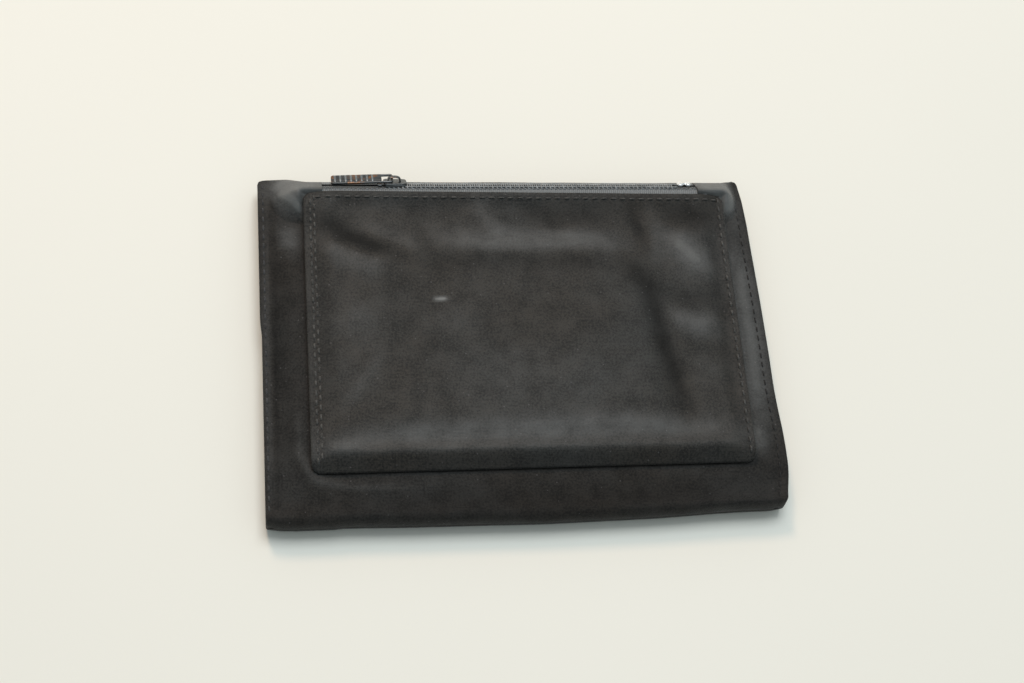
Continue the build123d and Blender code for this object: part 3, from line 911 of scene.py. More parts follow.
def bottom_stop():
    """The crimped staple: two bright lobes and the bar that joins them."""
    middle = (STOP_LOW[0] + STOP_HIGH[0]) / 2
    length = STOP_HIGH[0] - STOP_LOW[0]
    parts = []
    for side in (-1, 1):
        centre = middle + side * length * 0.29

        def place(x, y, z, centre=centre):
            return band_point(centre + x, y, z)

        lobe = rounded_plan(length * 0.2, 1.45, 0.7)
        parts.append(slab(lobe, edge_levels(TAPE_THICK / 2, 1.25, 0.5), place))
    bar = [band_point(middle + t * length * 0.3, 0.25 * math.sin(3 * t), 0.75) for t in np.linspace(-1, 1, 7)]
    parts.append(tube(bar, 0.42, 8))
    obj = joined("stop_staple", parts)
    smoother(obj)
    return settled(obj, "stop_metal", "cover", "zipper_bottom_stop")


def top_stops():
    low, high = node_box("zipper_top_stops")
    middle = (low[0] + high[0]) / 2
    parts = []
    for side in (-1, 1):

        def place(x, y, z, side=side):
            return band_point(middle + x, side * 1.15 + y, z)

        parts.append(slab(rounded_plan(0.7, 0.62, 0.3), edge_levels(TAPE_THICK / 2, 0.95, 0.3), place))
    obj = joined("top_stop_clips", parts)
    smoother(obj)
    return settled(obj, "stop_metal", "cover", "zipper_top_stops")


# ---------------------------------------------------------------- slider and pull

SLIDER_MIDDLE = (SLIDER_LOW[0] + SLIDER_HIGH[0]) / 2
SLIDER_HALF = (SLIDER_HIGH[0] - SLIDER_LOW[0]) / 2
PIVOT_X = SWING_POINT[0]


def slider():
    """Two tapered plates joined by a divider, with side flanges and a bridge for the pull."""
    def place(x, y, z):
        return band_point(SLIDER_MIDDLE + x, y, z)

    parts = []
    top = rounded_plan(SLIDER_HALF, 2.8, 1.1, 0.4, 6)
    parts.append(slab(top, edge_levels(0.92, 1.5, 0.24), place))
    parts.append(slab(top, edge_levels(-1.0, -0.5, 0.2), place))
    for side in (-1, 1):
        def flange(inset, side=side):
            points = []
            for x, y in rounded_plan(SLIDER_HALF - 0.5, 0.35, 0.3, 0, 3)(inset):
                slope = 0.4 * (x / SLIDER_HALF + 1) / 2
                points.append((x, side * (2.4 - slope) + y))
            return points

        parts.append(slab(flange, edge_levels(0.35, 1.0, 0.15), place))
    divider = rounded_plan(0.8, 0.3, 0.25)
    parts.append(slab(divider, edge_levels(-0.6, 1.0, 0.1),
                      lambda x, y, z: band_point(SLIDER_LOW[0] + 1.1 + x, y, z)))
    body = joined("slider", parts)
    smoother(body)
    settled(body, "slider_metal", "slider", "slider_body")

    arch = []
    start, end = PIVOT_X - 1.1, PIVOT_X + 2.5
    for t in np.linspace(0, 1, 17):
        angle = math.pi * t
        swell = abs(math.sin(angle)) ** 0.4
        arch.append(band_point(start + (end - start) * (1 - math.cos(angle)) / 2, 0, 1.42 + 1.48 * swell))
    points, faces = tube(arch, 0.95, 12, flat=0.34, across=BAND_DOWN)
    bridge = joined("slider_bridge", [(points, faces)])
    smoother(bridge)
    return body, settled(bridge, "slider_metal", "slider")


PULL_LEAN = math.radians(21)
PULL_SLOPE = 0.035
TAB_OVERRUN = 5.4


def pull_point(x, down, out):
    """A point on the pull, which lies flatter than the band and rests on it at its far end."""
    turned = Matrix.Rotation(PULL_LEAN, 3, "X") @ (BAND_DOWN * down + BAND_OUT * out)
    height = PIVOT_HEIGHT - PULL_SLOPE * (PIVOT_X - x)
    return Vector((x, 0, 0)) + BAND_CENTRE + BAND_OUT * height + turned


def pull():
    """A wire stirrup through the bridge, and the ribbed tab that it carries."""
    tab_end = TAB_HIGH[0] + TAB_OVERRUN
    left, right, half = tab_end - 1.4, PIVOT_X, 1.62
    corner = 0.55
    path = []
    for cx, cy, start in (
        (right - corner, half - corner, 0), (left + corner, half - corner, 1),
        (left + corner, corner - half, 2), (right - corner, corner - half, 3),
    ):
        for k in range(6):
            angle = (start + k / 5) * math.pi / 2
            path.append(pull_point(cx + corner * math.cos(angle), cy + corner * math.sin(angle), 0))
    ring = joined("pull_ring", [tube(path, 0.42, 10, closed=True)])
    smoother(ring)
    settled(ring, "slider_metal", "pull", "pull_link")

    middle = (TAB_LOW[0] + tab_end) / 2
    half_length = (tab_end - TAB_LOW[0]) / 2
    plan = rounded_plan(half_length, 1.95, 0.75, 0, 5)
    tab = joined("pull_tab_plate", [
        slab(plan, edge_levels(-0.35, 0.45, 0.28), lambda x, y, z: pull_point(middle + x, y, z))])
    parts = []
    pitch = 1.6
    count = 8
    for i in range(count):
        x = middle - 0.8 + (i - (count - 1) / 2) * pitch
        for face, level_out, radius in ((-1, 0.28, 0.27), (1, 0.48, 0.38)):
            rib = [pull_point(x, y, face * (level_out - 0.12 * (abs(y) / 1.6) ** 3))
                   for y in np.linspace(-1.6, 1.6, 9)]
            parts.append(tube(rib, radius, 8, flat=0.8))
    ribs = joined("pull_tab_ribs", parts)
    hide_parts("pull_tab")
    for obj in (tab, ribs):
        smoother(obj)
        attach(obj, "pull")
    return ring, tab, ribs


# ---------------------------------------------------------------- stitches

STITCH_PITCH = 2.9
STITCH_LENGTH = 2.15
STITCH_SLANT = 0.04
STITCH_SIDES = 6
STITCH_RINGS = 7
THREAD_RADIUS = 0.24
PASSPORT_ROW = 1.8
INNER_HEM_ROW = 2.2
HEM_THREAD_RADIUS = 0.27
SIDE_THREAD_RADIUS = 0.3

# Heights that stitches are cast from: over the holder, between its halves, and under it
ABOVE, BETWEEN, BELOW = 40.0, 4.2, -40.0


def stitch(centre, along, normal, length, radius):
    """One lockstitch: a fat short thread whose ends dive into the fabric."""
    across = along.cross(normal).normalized()
    rings = []
    for t in np.linspace(-1, 1, STITCH_RINGS):
        r = radius * (1 - 0.55 * t ** 4)
        middle = centre + along * (t * length / 2) + normal * (radius * (0.75 - 1.9 * t ** 4))
        angles = [2 * math.pi * k / STITCH_SIDES for k in range(STITCH_SIDES)]
        rings.append([middle + across * r * math.cos(a) + normal * r * 0.8 * math.sin(a) for a in angles])
    return capped(rings)


def stitch_row(name, path, tree, body, start_z=ABOVE, looking=-1, length=STITCH_LENGTH,
               pitch=STITCH_PITCH, radius=THREAD_RADIUS):
    """Stitches every pitch along a path of (x, y) in mm, cast from start_z down (-1) or up (1)."""
    path = np.asarray(path, float)
    run = np.concatenate([[0], np.cumsum(np.linalg.norm(np.diff(path, axis=0), axis=1))])

    def at(distance):
        return np.array([np.interp(distance, run, path[:, 0]), np.interp(distance, run, path[:, 1])])

    pieces = []
    look = Vector((0, 0, looking))
    for distance in np.arange(pitch / 2, run[-1], pitch):
        x, y = (float(value) for value in at(distance))
        direction = Vector((*(at(min(distance + 0.3, run[-1])) - at(distance - 0.3)), 0)).normalized()
        wobble = noise.noise(Vector((x * 0.9, y * 0.9, 31.0)))
        direction.rotate(Matrix.Rotation(STITCH_SLANT + 0.06 * wobble, 3, "Z"))
        hit, normal, _, _ = tree.ray_cast(Vector((x, y, start_z)) * MM, look)
        if hit is None:
            continue
        if normal.dot(look) > 0:
            normal = -normal
        along = (direction - normal * direction.dot(normal)).normalized()
        pieces.append(stitch(hit / MM, along, normal, length * (1 + 0.05 * wobble), radius))
    return settled(joined(name, pieces), "binding", body)


# ---------------------------------------------------------------- inside pieces

BOARD_STEP = 4.0


def board(name, node, top):
    """A stiffening board between shell and lining, bent a little with the shell."""
    low, high = node_box(node)
    set_back = 2.6
    x, y = np.meshgrid(
        np.arange(low[0] + 1.5, high[0] - 1.4, BOARD_STEP),
        np.arange(low[1] + set_back, high[1] - 2.4, BOARD_STEP),
    )
    z = COVER_TOP - 0.8 - cover_droop(x, y) if top else np.full_like(x, (low[2] + high[2]) / 2)
    obj = grid_object(name, np.stack([x, y, z], axis=-1))
    add_thickness(obj, 0.4, 0.0)
    return settled(obj, "board", "cover" if top else "back", node)


def passport_height(x, y):
    """The empty passport pocket: held up by its gusset, dipping in the middle."""
    low, high = PASSPORT_LOW, PASSPORT_HIGH
    side = np.minimum(x - low[0], high[0] - x)
    foot = y - low[1]
    mouth = high[1] - y
    edge = 1.0 * (1 - ramp(side, 0, 6)) + 0.8 * (1 - ramp(foot, 0, 6))
    dip = 0.55 * ramp(side, 4, 34) * ramp(mouth, -4, 14) * ramp(foot, 4, 26)
    return high[2] + 0.05 - edge - dip


def passport_pocket():
    """The large inside pocket's panel, hemmed along its mouth."""
    low, high = PASSPORT_LOW, PASSPORT_HIGH
    flat_x, flat_y, x, y, drop = wrapped_grid(low, high, 2.0, 2.0, 0.45)
    relief = 0.12 * grain(x, y, 18, 41.0) + 0.05 * grain(x, y, 6, 42.0)
    relief += sewn_groove(high[1] - y - INNER_HEM_ROW, 0.12, 0.5)
    z = np.minimum(passport_height(x, y) + relief, high[2] + 0.1) - drop
    cloth_place = np.stack([flat_x, flat_y + 700], axis=-1)
    obj = grid_object("passport_pocket", np.stack([x, y, z], axis=-1), cloth_place)
    add_thickness(obj, 0.3)
    settled(obj, "lining_fabric", "back", "passport_pocket_panel", "passport_pocket_hem")
    return obj, (flat_x, flat_y)


def passport_gusset():
    low, high = node_box("passport_pocket_gusset")
    path = open_loop(low[0] + 0.5, high[0] - 0.5, high[0] - 0.5, low[1] + 0.5, high[1], 3.0)
    top = passport_height(path[:, 0], path[:, 1]) - 0.8
    foot = np.full(len(path), low[2] - 0.1)
    obj = wall("passport_gusset", path, foot, top, 0.7, 900)
    add_thickness(obj, 0.25, 0.0)
    return settled(obj, "lining_fabric", "back", "passport_pocket_gusset")


def cover_pocket(name, low, high, seed):
    """A flat pocket sewn inside the cover, open towards the cover's edge. It faces down."""
    flat_x, flat_y, x, y, drop = wrapped_grid(low, high, 2.2, 1.5, 0.22)
    side = np.minimum(x - low[0], high[0] - x)
    hug = 0.35 * (1 - ramp(side, 0, 5)) + 0.3 * (1 - ramp(y - low[1], 0, 5))
    relief = 0.05 * grain(x, y, 16, seed) + 0.03 * grain(x, y, 5, seed + 1)
    z = low[2] + hug + np.abs(relief) + drop - 0.9 * cover_droop(x, y)
    obj = grid_object(name, np.stack([x, y, z], axis=-1), np.stack([flat_x, flat_y + seed * 20], axis=-1))
    add_thickness(obj, 0.22, 1.0)
    settled(obj, "lining_fabric", "cover", name + "_panel", name + "_seam")
    return obj, (flat_x, flat_y)


def pile_point(rng, low, high, spacing):
    """Slightly uneven places over a strip."""
    places = []
    for y in np.arange(low[1] + 1.2, high[1] - 1.1, spacing):
        for x in np.arange(low[0] + 1.2, high[0] - 1.1, spacing):
            places.append((x + rng.uniform(-0.25, 0.25), y + rng.uniform(-0.25, 0.25)))
    return places


def fastener(name, node, body, facing, seed):
    """Half of the closure: a woven base with its hooks, or with a pile of loops."""
    low, high = node_box(node)
    rng = np.random.default_rng(seed)
    base_z = low[2] if facing > 0 else high[2]
    middle = (low + high) / 2

    def place(x, y, z):
        return Vector((middle[0] + x, middle[1] + y, base_z + facing * z))

    plan = rounded_plan((high[0] - low[0]) / 2, (high[1] - low[1]) / 2, 1.2)
    parts = [slab(plan, edge_levels(0.0, 0.34, 0.12), place)]
    hooks = name.startswith("hook")
    for x, y in pile_point(rng, low, high, 1.15 if hooks else 1.0):
        tall = rng.uniform(0.62, 0.72)
        wide = 0.2 if hooks else rng.uniform(0.25, 0.4)
        turn = 0.0 if hooks else rng.uniform(0, math.pi)
        reach = (math.cos(turn), math.sin(turn))
        stop_at = 0.72 if hooks else 1.0
        path = []
        for t in np.linspace(0, stop_at, 6):
            side = wide * (1 - math.cos(math.pi * t)) - wide
            up = 0.28 + (tall - 0.28) * math.sin(math.pi * t) ** 0.7
            path.append(Vector((x + reach[0] * side, y + reach[1] * side, base_z + facing * up)))
        parts.append(tube(path, 0.07, 4, across=Vector((-reach[1], reach[0], 0))))
    obj = joined(name, parts)
    return settled(obj, "hook_and_loop", body, node)


# ---------------------------------------------------------------- materials

def new_material(name):
    """A material with its node tree and its main shader."""
    made = bpy.data.materials.new(name)
    made.use_nodes = True
    tree = made.node_tree
    return made, tree, tree.nodes["Principled BSDF"]


def node(tree, kind, inputs=None, **settings):
    """Adds a node. An input that is a socket is linked, and any other is set."""
    made = tree.nodes.new(kind)
    for key, value in settings.items():
        setattr(made, key, value)
    for key, value in (inputs or {}).items():
        if isinstance(value, bpy.types.NodeSocket):
            tree.links.new(value, made.inputs[key])
        else:
            made.inputs[key].default_value = value
    return made


def maths(tree, operation, *values):
    return node(tree, "ShaderNodeMath", dict(enumerate(values)), operation=operation).outputs[0]


def noise_of(tree, place, scale, detail=2.0, roughness=0.5):
    made = node(tree, "ShaderNodeTexNoise", {
        "Vector": place, "Scale": scale, "Detail": detail, "Roughness": roughness,
    })
    return made.outputs["Fac"]


def between(tree, value, low, high, to_low=0.0, to_high=1.0):
    """Maps value from low..high to to_low..to_high, held at both ends."""
    made = node(tree, "ShaderNodeMapRange", {
        "Value": value, "From Min": low, "From Max": high, "To Min": to_low, "To Max": to_high,
    })
    return made.outputs["Result"]


def mixed(tree, factor, first, second, blend_type="MIX"):
    """A colour between two, which are sockets or (r, g, b)."""
    made = node(tree, "ShaderNodeMix", data_type="RGBA", blend_type=blend_type)
    for index, value in ((0, factor), (6, first), (7, second)):
        if isinstance(value, bpy.types.NodeSocket):
            tree.links.new(value, made.inputs[index])
        elif index == 0:
            made.inputs[index].default_value = value
        else:
            made.inputs[index].default_value = (*value, 1.0)
    return made.outputs[2]


def bumped(tree, shader, height, distance, strength=1.0, under=None):
    inputs = {"Height": height, "Distance": distance, "Strength": strength}
    if under is not None:
        inputs["Normal"] = under
    made = node(tree, "ShaderNodeBump", inputs)
    tree.links.new(made.outputs["Normal"], shader.inputs["Normal"])
    return made.outputs["Normal"]


def flat_place(tree):
    """The cloth's own flat coordinates, in metres."""
    return node(tree, "ShaderNodeUVMap", uv_map="UVMap").outputs["UV"]


def solid_place(tree):
    return node(tree, "ShaderNodeTexCoord").outputs["Object"]


def weave_height(tree, place, pitch):
    """Plain weave: each thread is round, and they take turns on top."""
    split = node(tree, "ShaderNodeSeparateXYZ", {0: place})
    waves = []
    for axis in (0, 1):
        waves.append(maths(tree, "SINE", maths(tree, "MULTIPLY", split.outputs[axis], math.pi / pitch)))
    over = maths(tree, "GREATER_THAN", maths(tree, "MULTIPLY", *waves), 0.0)
    warp = maths(tree, "ABSOLUTE", waves[0])
    weft = maths(tree, "ABSOLUTE", waves[1])
    first = maths(tree, "MULTIPLY", warp, over)
    second = maths(tree, "MULTIPLY", weft, maths(tree, "SUBTRACT", 1.0, over))
    return maths(tree, "ADD", first, second)


def lint_mask(tree, place, per_metre, share):
    """Small pale specks and short fibres caught in the weave."""
    cells = node(tree, "ShaderNodeTexVoronoi", {"Vector": place, "Scale": per_metre})
    near = between(tree, cells.outputs["Distance"], 0.2, 0.06)
    chosen = node(tree, "ShaderNodeSeparateColor", {0: cells.outputs["Color"]})
    kept = maths(tree, "LESS_THAN", chosen.outputs[0], share)
    return maths(tree, "MULTIPLY", near, kept)


# Colours that the painted highlights, with some wear, pale the fabric towards.
PALE_WEAR_AND_HIGHLIGHT = (0.076, 0.0765, 0.076)
SCUFF_AND_HIGHLIGHT = (0.17, 0.172, 0.17)


def fabric(name, dark, light, pitch, roughness, sheen, tints, lint=0.12, gloss=0.5):
    """Woven nylon: thread by thread relief, speckle, broad changes of tint, painted highlight and shade along
    folds with some wear, and lint.
    """
    made, tree, shader = new_material(name)
    place = flat_place(tree)
    weave = weave_height(tree, place, pitch)
    speckle = noise_of(tree, place, 1500, 3.0, 0.7)
    slub = noise_of(tree, node(tree, "ShaderNodeMapping", {
        "Vector": place, "Scale": (90.0, 900.0, 1.0),
    }).outputs[0], 1.0, 3.0)
    mottle = noise_of(tree, place, 150, 4.0, 0.6)
    broad = noise_of(tree, place, 26, 5.0, 0.6)
    wear_and_shading = node(tree, "ShaderNodeAttribute", attribute_name="wear_and_shading").outputs["Fac"]
    fine = maths(tree, "ADD", maths(tree, "MULTIPLY", speckle, 0.8), maths(tree, "MULTIPLY", mottle, 0.34))
    fine = maths(tree, "ADD", fine, maths(tree, "MULTIPLY", weave, 0.12))
    colour = mixed(tree, between(tree, fine, 0.55, 0.7), dark, light)
    tint = mixed(tree, between(tree, broad, 0.38, 0.62), *tints)
    colour = mixed(tree, 0.85, colour, tint, "MULTIPLY")
    uneven = between(tree, maths(tree, "ADD", speckle, mottle), 0.75, 1.25, 0.45, 1.0)
    # Painted highlight with some wear: points marked above 0 are paled.
    paler = maths(tree, "MULTIPLY", between(tree, wear_and_shading, 0.0, 1.0), uneven)
    colour = mixed(tree, paler, colour, PALE_WEAR_AND_HIGHLIGHT)
    # Painted shade: points marked below 0, in creases, on the facet and along the fold, are darkened.
    colour = mixed(tree, between(tree, wear_and_shading, 0.0, -1.0, 0.0, 0.65), colour, tuple(0.3 * c for c in dark))
    # Stronger painted highlight, with scuffing, where the mark passes 1.2.
    colour = mixed(tree, between(tree, wear_and_shading, 1.2, 2.4), colour, SCUFF_AND_HIGHLIGHT)
    white = maths(tree, "MULTIPLY", between(tree, wear_and_shading, 2.6, 3.6), between(tree, speckle, 0.45, 0.6))
    specks = maths(tree, "MULTIPLY", lint_mask(tree, place, 700, 0.12), lint)
    colour = mixed(tree, maths(tree, "MAXIMUM", white, specks), colour, (0.42, 0.4, 0.42))
    tree.links.new(colour, shader.inputs["Base Color"])
    rough = between(tree, maths(tree, "ADD", mottle, broad), 0.76, 1.24, roughness + 0.08, roughness - 0.07)
    rough = maths(tree, "ADD", rough, between(tree, wear_and_shading, -1.0, 0.0, 0.24, 0.0))
    rough = maths(tree, "ADD", rough, between(tree, wear_and_shading, 0.0, 1.0, 0.0, -0.05))
    tree.links.new(rough, shader.inputs["Roughness"])
    shader.inputs["Sheen Weight"].default_value = sheen
    shader.inputs["Sheen Roughness"].default_value = 0.45
    shader.inputs["Specular IOR Level"].default_value = gloss
    under = bumped(tree, shader, slub, 0.00018, 0.4)
    under = bumped(tree, shader, speckle, 0.0002, 0.85, under)
    bumped(tree, shader, weave, 0.00005, 0.8, under)
    return made


def tape_material():
    """Zipper tape: fine lengthwise ribs crossed by a herringbone, and a band of painted shade along the
    chain.
    """
    made, tree, shader = new_material("zipper_tape")
    place = flat_place(tree)
    split = node(tree, "ShaderNodeSeparateXYZ", {0: place})
    across = maths(tree, "MULTIPLY", split.outputs[1], 1 / 0.00085)
    slant = maths(tree, "PINGPONG", across, 1.0)
    along = maths(tree, "ADD", maths(tree, "MULTIPLY", split.outputs[0], 2 * math.pi / 0.00062),
                  maths(tree, "MULTIPLY", slant, 2.6))
    rib = maths(tree, "SINE", along)
    speckle = noise_of(tree, place, 1700, 2.0)
    colour = mixed(tree, between(tree, rib, -1, 1), (0.115, 0.123, 0.13), (0.235, 0.25, 0.26))
    colour = mixed(tree, between(tree, speckle, 0.3, 0.7, 0.0, 0.5), colour, (0.085, 0.09, 0.095))
    # Painted shade: the tape turns dark in a band along the chain, standing for the shadow under and between
    # the coil's teeth.
    from_chain = maths(tree, "ABSOLUTE", maths(tree, "ADD", split.outputs[1], 0.0008))
    colour = mixed(tree, between(tree, from_chain, 0.0016, 0.0023), (0.02, 0.022, 0.024), colour)
    lint = maths(tree, "MULTIPLY", lint_mask(tree, place, 600, 0.12), 0.35)
    colour = mixed(tree, lint, colour, (0.5, 0.5, 0.52))
    tree.links.new(colour, shader.inputs["Base Color"])
    shader.inputs["Roughness"].default_value = 0.62
    shader.inputs["Sheen Weight"].default_value = 0.35
    shader.inputs["Sheen Roughness"].default_value = 0.5
    under = bumped(tree, shader, speckle, 0.00008, 0.6)
    bumped(tree, shader, rib, 0.00007, 0.8, under)
    return made


def thread_material(name, dark, light, sheen=0.15):
    """Twisted thread: a fine slant wave and fuzz."""
    made, tree, shader = new_material(name)
    place = solid_place(tree)
    twist = node(tree, "ShaderNodeTexWave", {
        "Vector": place, "Scale": 900.0, "Distortion": 1.5,
    }, bands_direction="DIAGONAL").outputs["Fac"]
    fuzz = noise_of(tree, place, 900, 2.0)
    colour = mixed(tree, between(tree, fuzz, 0.35, 0.7), dark, light)
    tree.links.new(colour, shader.inputs["Base Color"])
    tree.links.new(between(tree, twist, 0, 1, 0.55, 0.7), shader.inputs["Roughness"])
    shader.inputs["Sheen Weight"].default_value = sheen
    bumped(tree, shader, twist, 0.00005, 0.7)
    return made


def worn_metal(name, lacquer, bare, roughness, bare_amount=0.55):
    """Dark lacquer rubbed through to the metal in patches, with fine scratches."""
    made, tree, shader = new_material(name)
    place = solid_place(tree)
    patches = noise_of(tree, place, 210, 4.0, 0.62)
    scratch = noise_of(tree, node(tree, "ShaderNodeMapping", {
        "Vector": place, "Scale": (220.0, 2600.0, 1500.0),
    }).outputs[0], 1.0, 2.0)
    facing = node(tree, "ShaderNodeSeparateXYZ", {0: node(tree, "ShaderNodeTexCoord").outputs["Normal"]})
    edge = between(tree, facing.outputs[1], 0.86, 0.99, 0.0, 0.13)
    worn = between(tree, maths(tree, "ADD", patches, edge), bare_amount, bare_amount + 0.09)
    tone = mixed(tree, between(tree, scratch, 0.3, 0.7), lacquer, tuple(1.7 * c for c in lacquer))
    tree.links.new(mixed(tree, worn, tone, bare), shader.inputs["Base Color"])
    rough = maths(tree, "ADD", between(tree, scratch, 0.3, 0.7, roughness - 0.07, roughness + 0.1),
                  maths(tree, "MULTIPLY", worn, -0.03))
    tree.links.new(rough, shader.inputs["Roughness"])
    shader.inputs["Metallic"].default_value = 0.9
    under = bumped(tree, shader, patches, 0.00006, 0.4)
    bumped(tree, shader, scratch, 0.00003, 0.5, under)
    return made


def coil_material():
    """Moulded nylon monofilament, slightly clouded."""
    made, tree, shader = new_material("zipper_coil")
    place = solid_place(tree)
    cloud = noise_of(tree, place, 500, 3.0)
    colour = mixed(tree, between(tree, cloud, 0.35, 0.68), (0.12, 0.128, 0.134), (0.28, 0.295, 0.305))
    tree.links.new(colour, shader.inputs["Base Color"])
    tree.links.new(between(tree, cloud, 0.3, 0.7, 0.3, 0.46), shader.inputs["Roughness"])
    bumped(tree, shader, noise_of(tree, place, 2200, 2.0), 0.00003, 0.5)
    return made


def board_material():
    """Matt polyethylene board with a faint orange-peel face."""
    made, tree, shader = new_material("board")
    place = solid_place(tree)
    peel = noise_of(tree, place, 700, 3.0)
    cloud = noise_of(tree, place, 60, 3.0)
    colour = mixed(tree, between(tree, cloud, 0.35, 0.65), (0.1, 0.1, 0.1), (0.14, 0.14, 0.14))
    tree.links.new(colour, shader.inputs["Base Color"])
    tree.links.new(between(tree, peel, 0.3, 0.7, 0.55, 0.7), shader.inputs["Roughness"])
    bumped(tree, shader, peel, 0.00006, 0.6)
    return made


def fastener_material():
    """Black nylon hooks and loops on a woven base."""
    made, tree, shader = new_material("hook_and_loop")
    place = solid_place(tree)
    fuzz = noise_of(tree, place, 1500, 3.0, 0.6)
    colour = mixed(tree, between(tree, fuzz, 0.35, 0.7), (0.012, 0.012, 0.014), (0.045, 0.045, 0.05))
    tree.links.new(colour, shader.inputs["Base Color"])
    tree.links.new(between(tree, fuzz, 0.3, 0.7, 0.5, 0.75), shader.inputs["Roughness"])
    shader.inputs["Sheen Weight"].default_value = 0.3
    bumped(tree, shader, fuzz, 0.0001, 0.8)
    return made


def floor_material():
    """A plain pale surface with a barely visible unevenness."""
    made, tree, shader = new_material("pale_floor")
    place = solid_place(tree)
    cloud = noise_of(tree, place, 2.2, 3.0)
    colour = mixed(tree, between(tree, cloud, 0.35, 0.65), (0.845, 0.825, 0.76), (0.87, 0.85, 0.785))
    tree.links.new(colour, shader.inputs["Base Color"])
    shader.inputs["Roughness"].default_value = 0.75
    bumped(tree, shader, noise_of(tree, place, 160, 3.0), 0.0002, 0.12)
    return made


def paint(material, *objects):
    for obj in objects:
        obj.data.materials.clear()
        obj.data.materials.append(material)


# ---------------------------------------------------------------- stage, light and camera

CAMERA_PLACE = (-0.08143, -0.18603, 0.44116)
CAMERA_RIGHT = (0.9860, -0.0786, 0.1467)
CAMERA_UP = (0.0141, 0.9177, 0.3971)
CAMERA_AHEAD = (0.1659, 0.3895, -0.9060)
CAMERA_LENS = 56.92


def camera():
    data = bpy.data.cameras.new("camera")
    data.lens = CAMERA_LENS
    data.sensor_width = 36.0
    data.clip_start = 0.01
    obj = bpy.data.objects.new("camera", data)
    turn = Matrix((CAMERA_RIGHT, CAMERA_UP, [-c for c in CAMERA_AHEAD])).transposed()
    obj.matrix_world = Matrix.Translation(CAMERA_PLACE) @ turn.to_4x4()
    bpy.context.scene.collection.objects.link(obj)
    bpy.context.scene.camera = obj


def soft_light(name, place, size, watts, colour):
    """A square area light that faces the holder."""
    data = bpy.data.lights.new(name, "AREA")
    data.shape = "SQUARE"
    data.size = size
    data.energy = watts
    data.color = colour
    obj = bpy.data.objects.new(name, data)
    obj.location = place
    obj.rotation_mode = "QUATERNION"
    obj.rotation_quaternion = (-Vector(place)).to_track_quat("-Z", "Y")
    bpy.context.scene.collection.objects.link(obj)


def studio():
    """Floor, lights and a soft white surround."""
    x, y = np.meshgrid(np.linspace(-1500, 1500, 13), np.linspace(-1500, 1500, 13))
    floor = grid_object("floor", np.stack([x, y, np.full_like(x, -0.05)], axis=-1))
    paint(floor_material(), floor)
    soft_light("light_overhead", (0.08, 0.42, 1.2), 0.6, 8.0, (0.92, 0.98, 1.0))
    soft_light("light_lamp", (-0.35, 1.0, 1.1), 0.3, 7.2, (1.0, 0.68, 0.46))
    bpy.context.scene.world = surround()
    bpy.context.scene.view_settings.view_transform = "Standard"


def surround():
    """A soft cool room light, a little brighter overhead than low down on the fold's side."""
    world = bpy.data.worlds.new("surround")
    world.use_nodes = True
    tree = world.node_tree
    way = node(tree, "ShaderNodeSeparateXYZ", {0: node(tree, "ShaderNodeTexCoord").outputs["Generated"]})
    lean = maths(tree, "MULTIPLY", way.outputs[1], 0.55)
    height = maths(tree, "ADD", maths(tree, "MULTIPLY", way.outputs[2], 0.85), lean)
    background = tree.nodes["Background"]
    background.inputs["Color"].default_value = (0.85, 0.97, 1.0, 1.0)
    tree.links.new(between(tree, height, -0.4, 0.9, 0.35, 0.47), background.inputs["Strength"])
    return world


# ---------------------------------------------------------------- putting it together

def flat_size(flat):
    """The cut size in metres of a sheet, from its flat coordinates in millimetres."""
    return tuple(float(np.ptp(values)) * MM for values in flat)


SHELL = fabric("shell_nylon", (0.0035, 0.0032, 0.0029), (0.0205, 0.0192, 0.0177), 0.00042, 0.61, 0.04,
               ((1.0, 0.88, 0.78), (0.95, 0.98, 1.0)), gloss=0.25)
POCKET = fabric("pocket_nylon", (0.0042, 0.0039, 0.0035), (0.0283, 0.027, 0.0246), 0.00042, 0.57, 0.06,
                ((1.0, 0.87, 0.76), (0.95, 0.98, 1.0)), gloss=0.37)
LINING = fabric("lining_fabric", (0.018, 0.019, 0.022), (0.062, 0.065, 0.072), 0.00034, 0.6, 0.25,
                ((1.0, 0.97, 0.95), (0.92, 0.96, 1.0)), lint=0.1)
TAPE = tape_material()
COIL = coil_material()
METAL = worn_metal("slider_metal", (0.075, 0.078, 0.08), (0.36, 0.17, 0.08), 0.36, bare_amount=0.54)
# The pull's ribs get a paler, bluer copy of the slider's lacquer: a painted highlight on the ribs, with bare
# metal showing through in worn patches.
RIB_METAL = worn_metal("slider_metal_ribs_highlit", (0.2, 0.215, 0.225), (0.42, 0.22, 0.12), 0.34, bare_amount=0.63)
STOP = worn_metal("stop_metal", (0.72, 0.73, 0.75), (0.9, 0.9, 0.92), 0.27)
BOARD = board_material()
CLOSURE = fastener_material()
THREAD_PALE = thread_material("thread_pale", (0.022, 0.0205, 0.019), (0.072, 0.067, 0.061))
# A paler copy of the dark thread for the cover's left row: painted light on that row of stitches.
THREAD_LIT_LILAC = thread_material("thread_lit_lilac", (0.014, 0.013, 0.015), (0.042, 0.041, 0.046))
THREAD_SLATE = thread_material("thread_slate", (0.1, 0.11, 0.12), (0.26, 0.28, 0.3))
THREAD_DARK = thread_material("thread_dark", (0.003, 0.003, 0.0032), (0.012, 0.0115, 0.0115), 0.02)

camera()
studio()

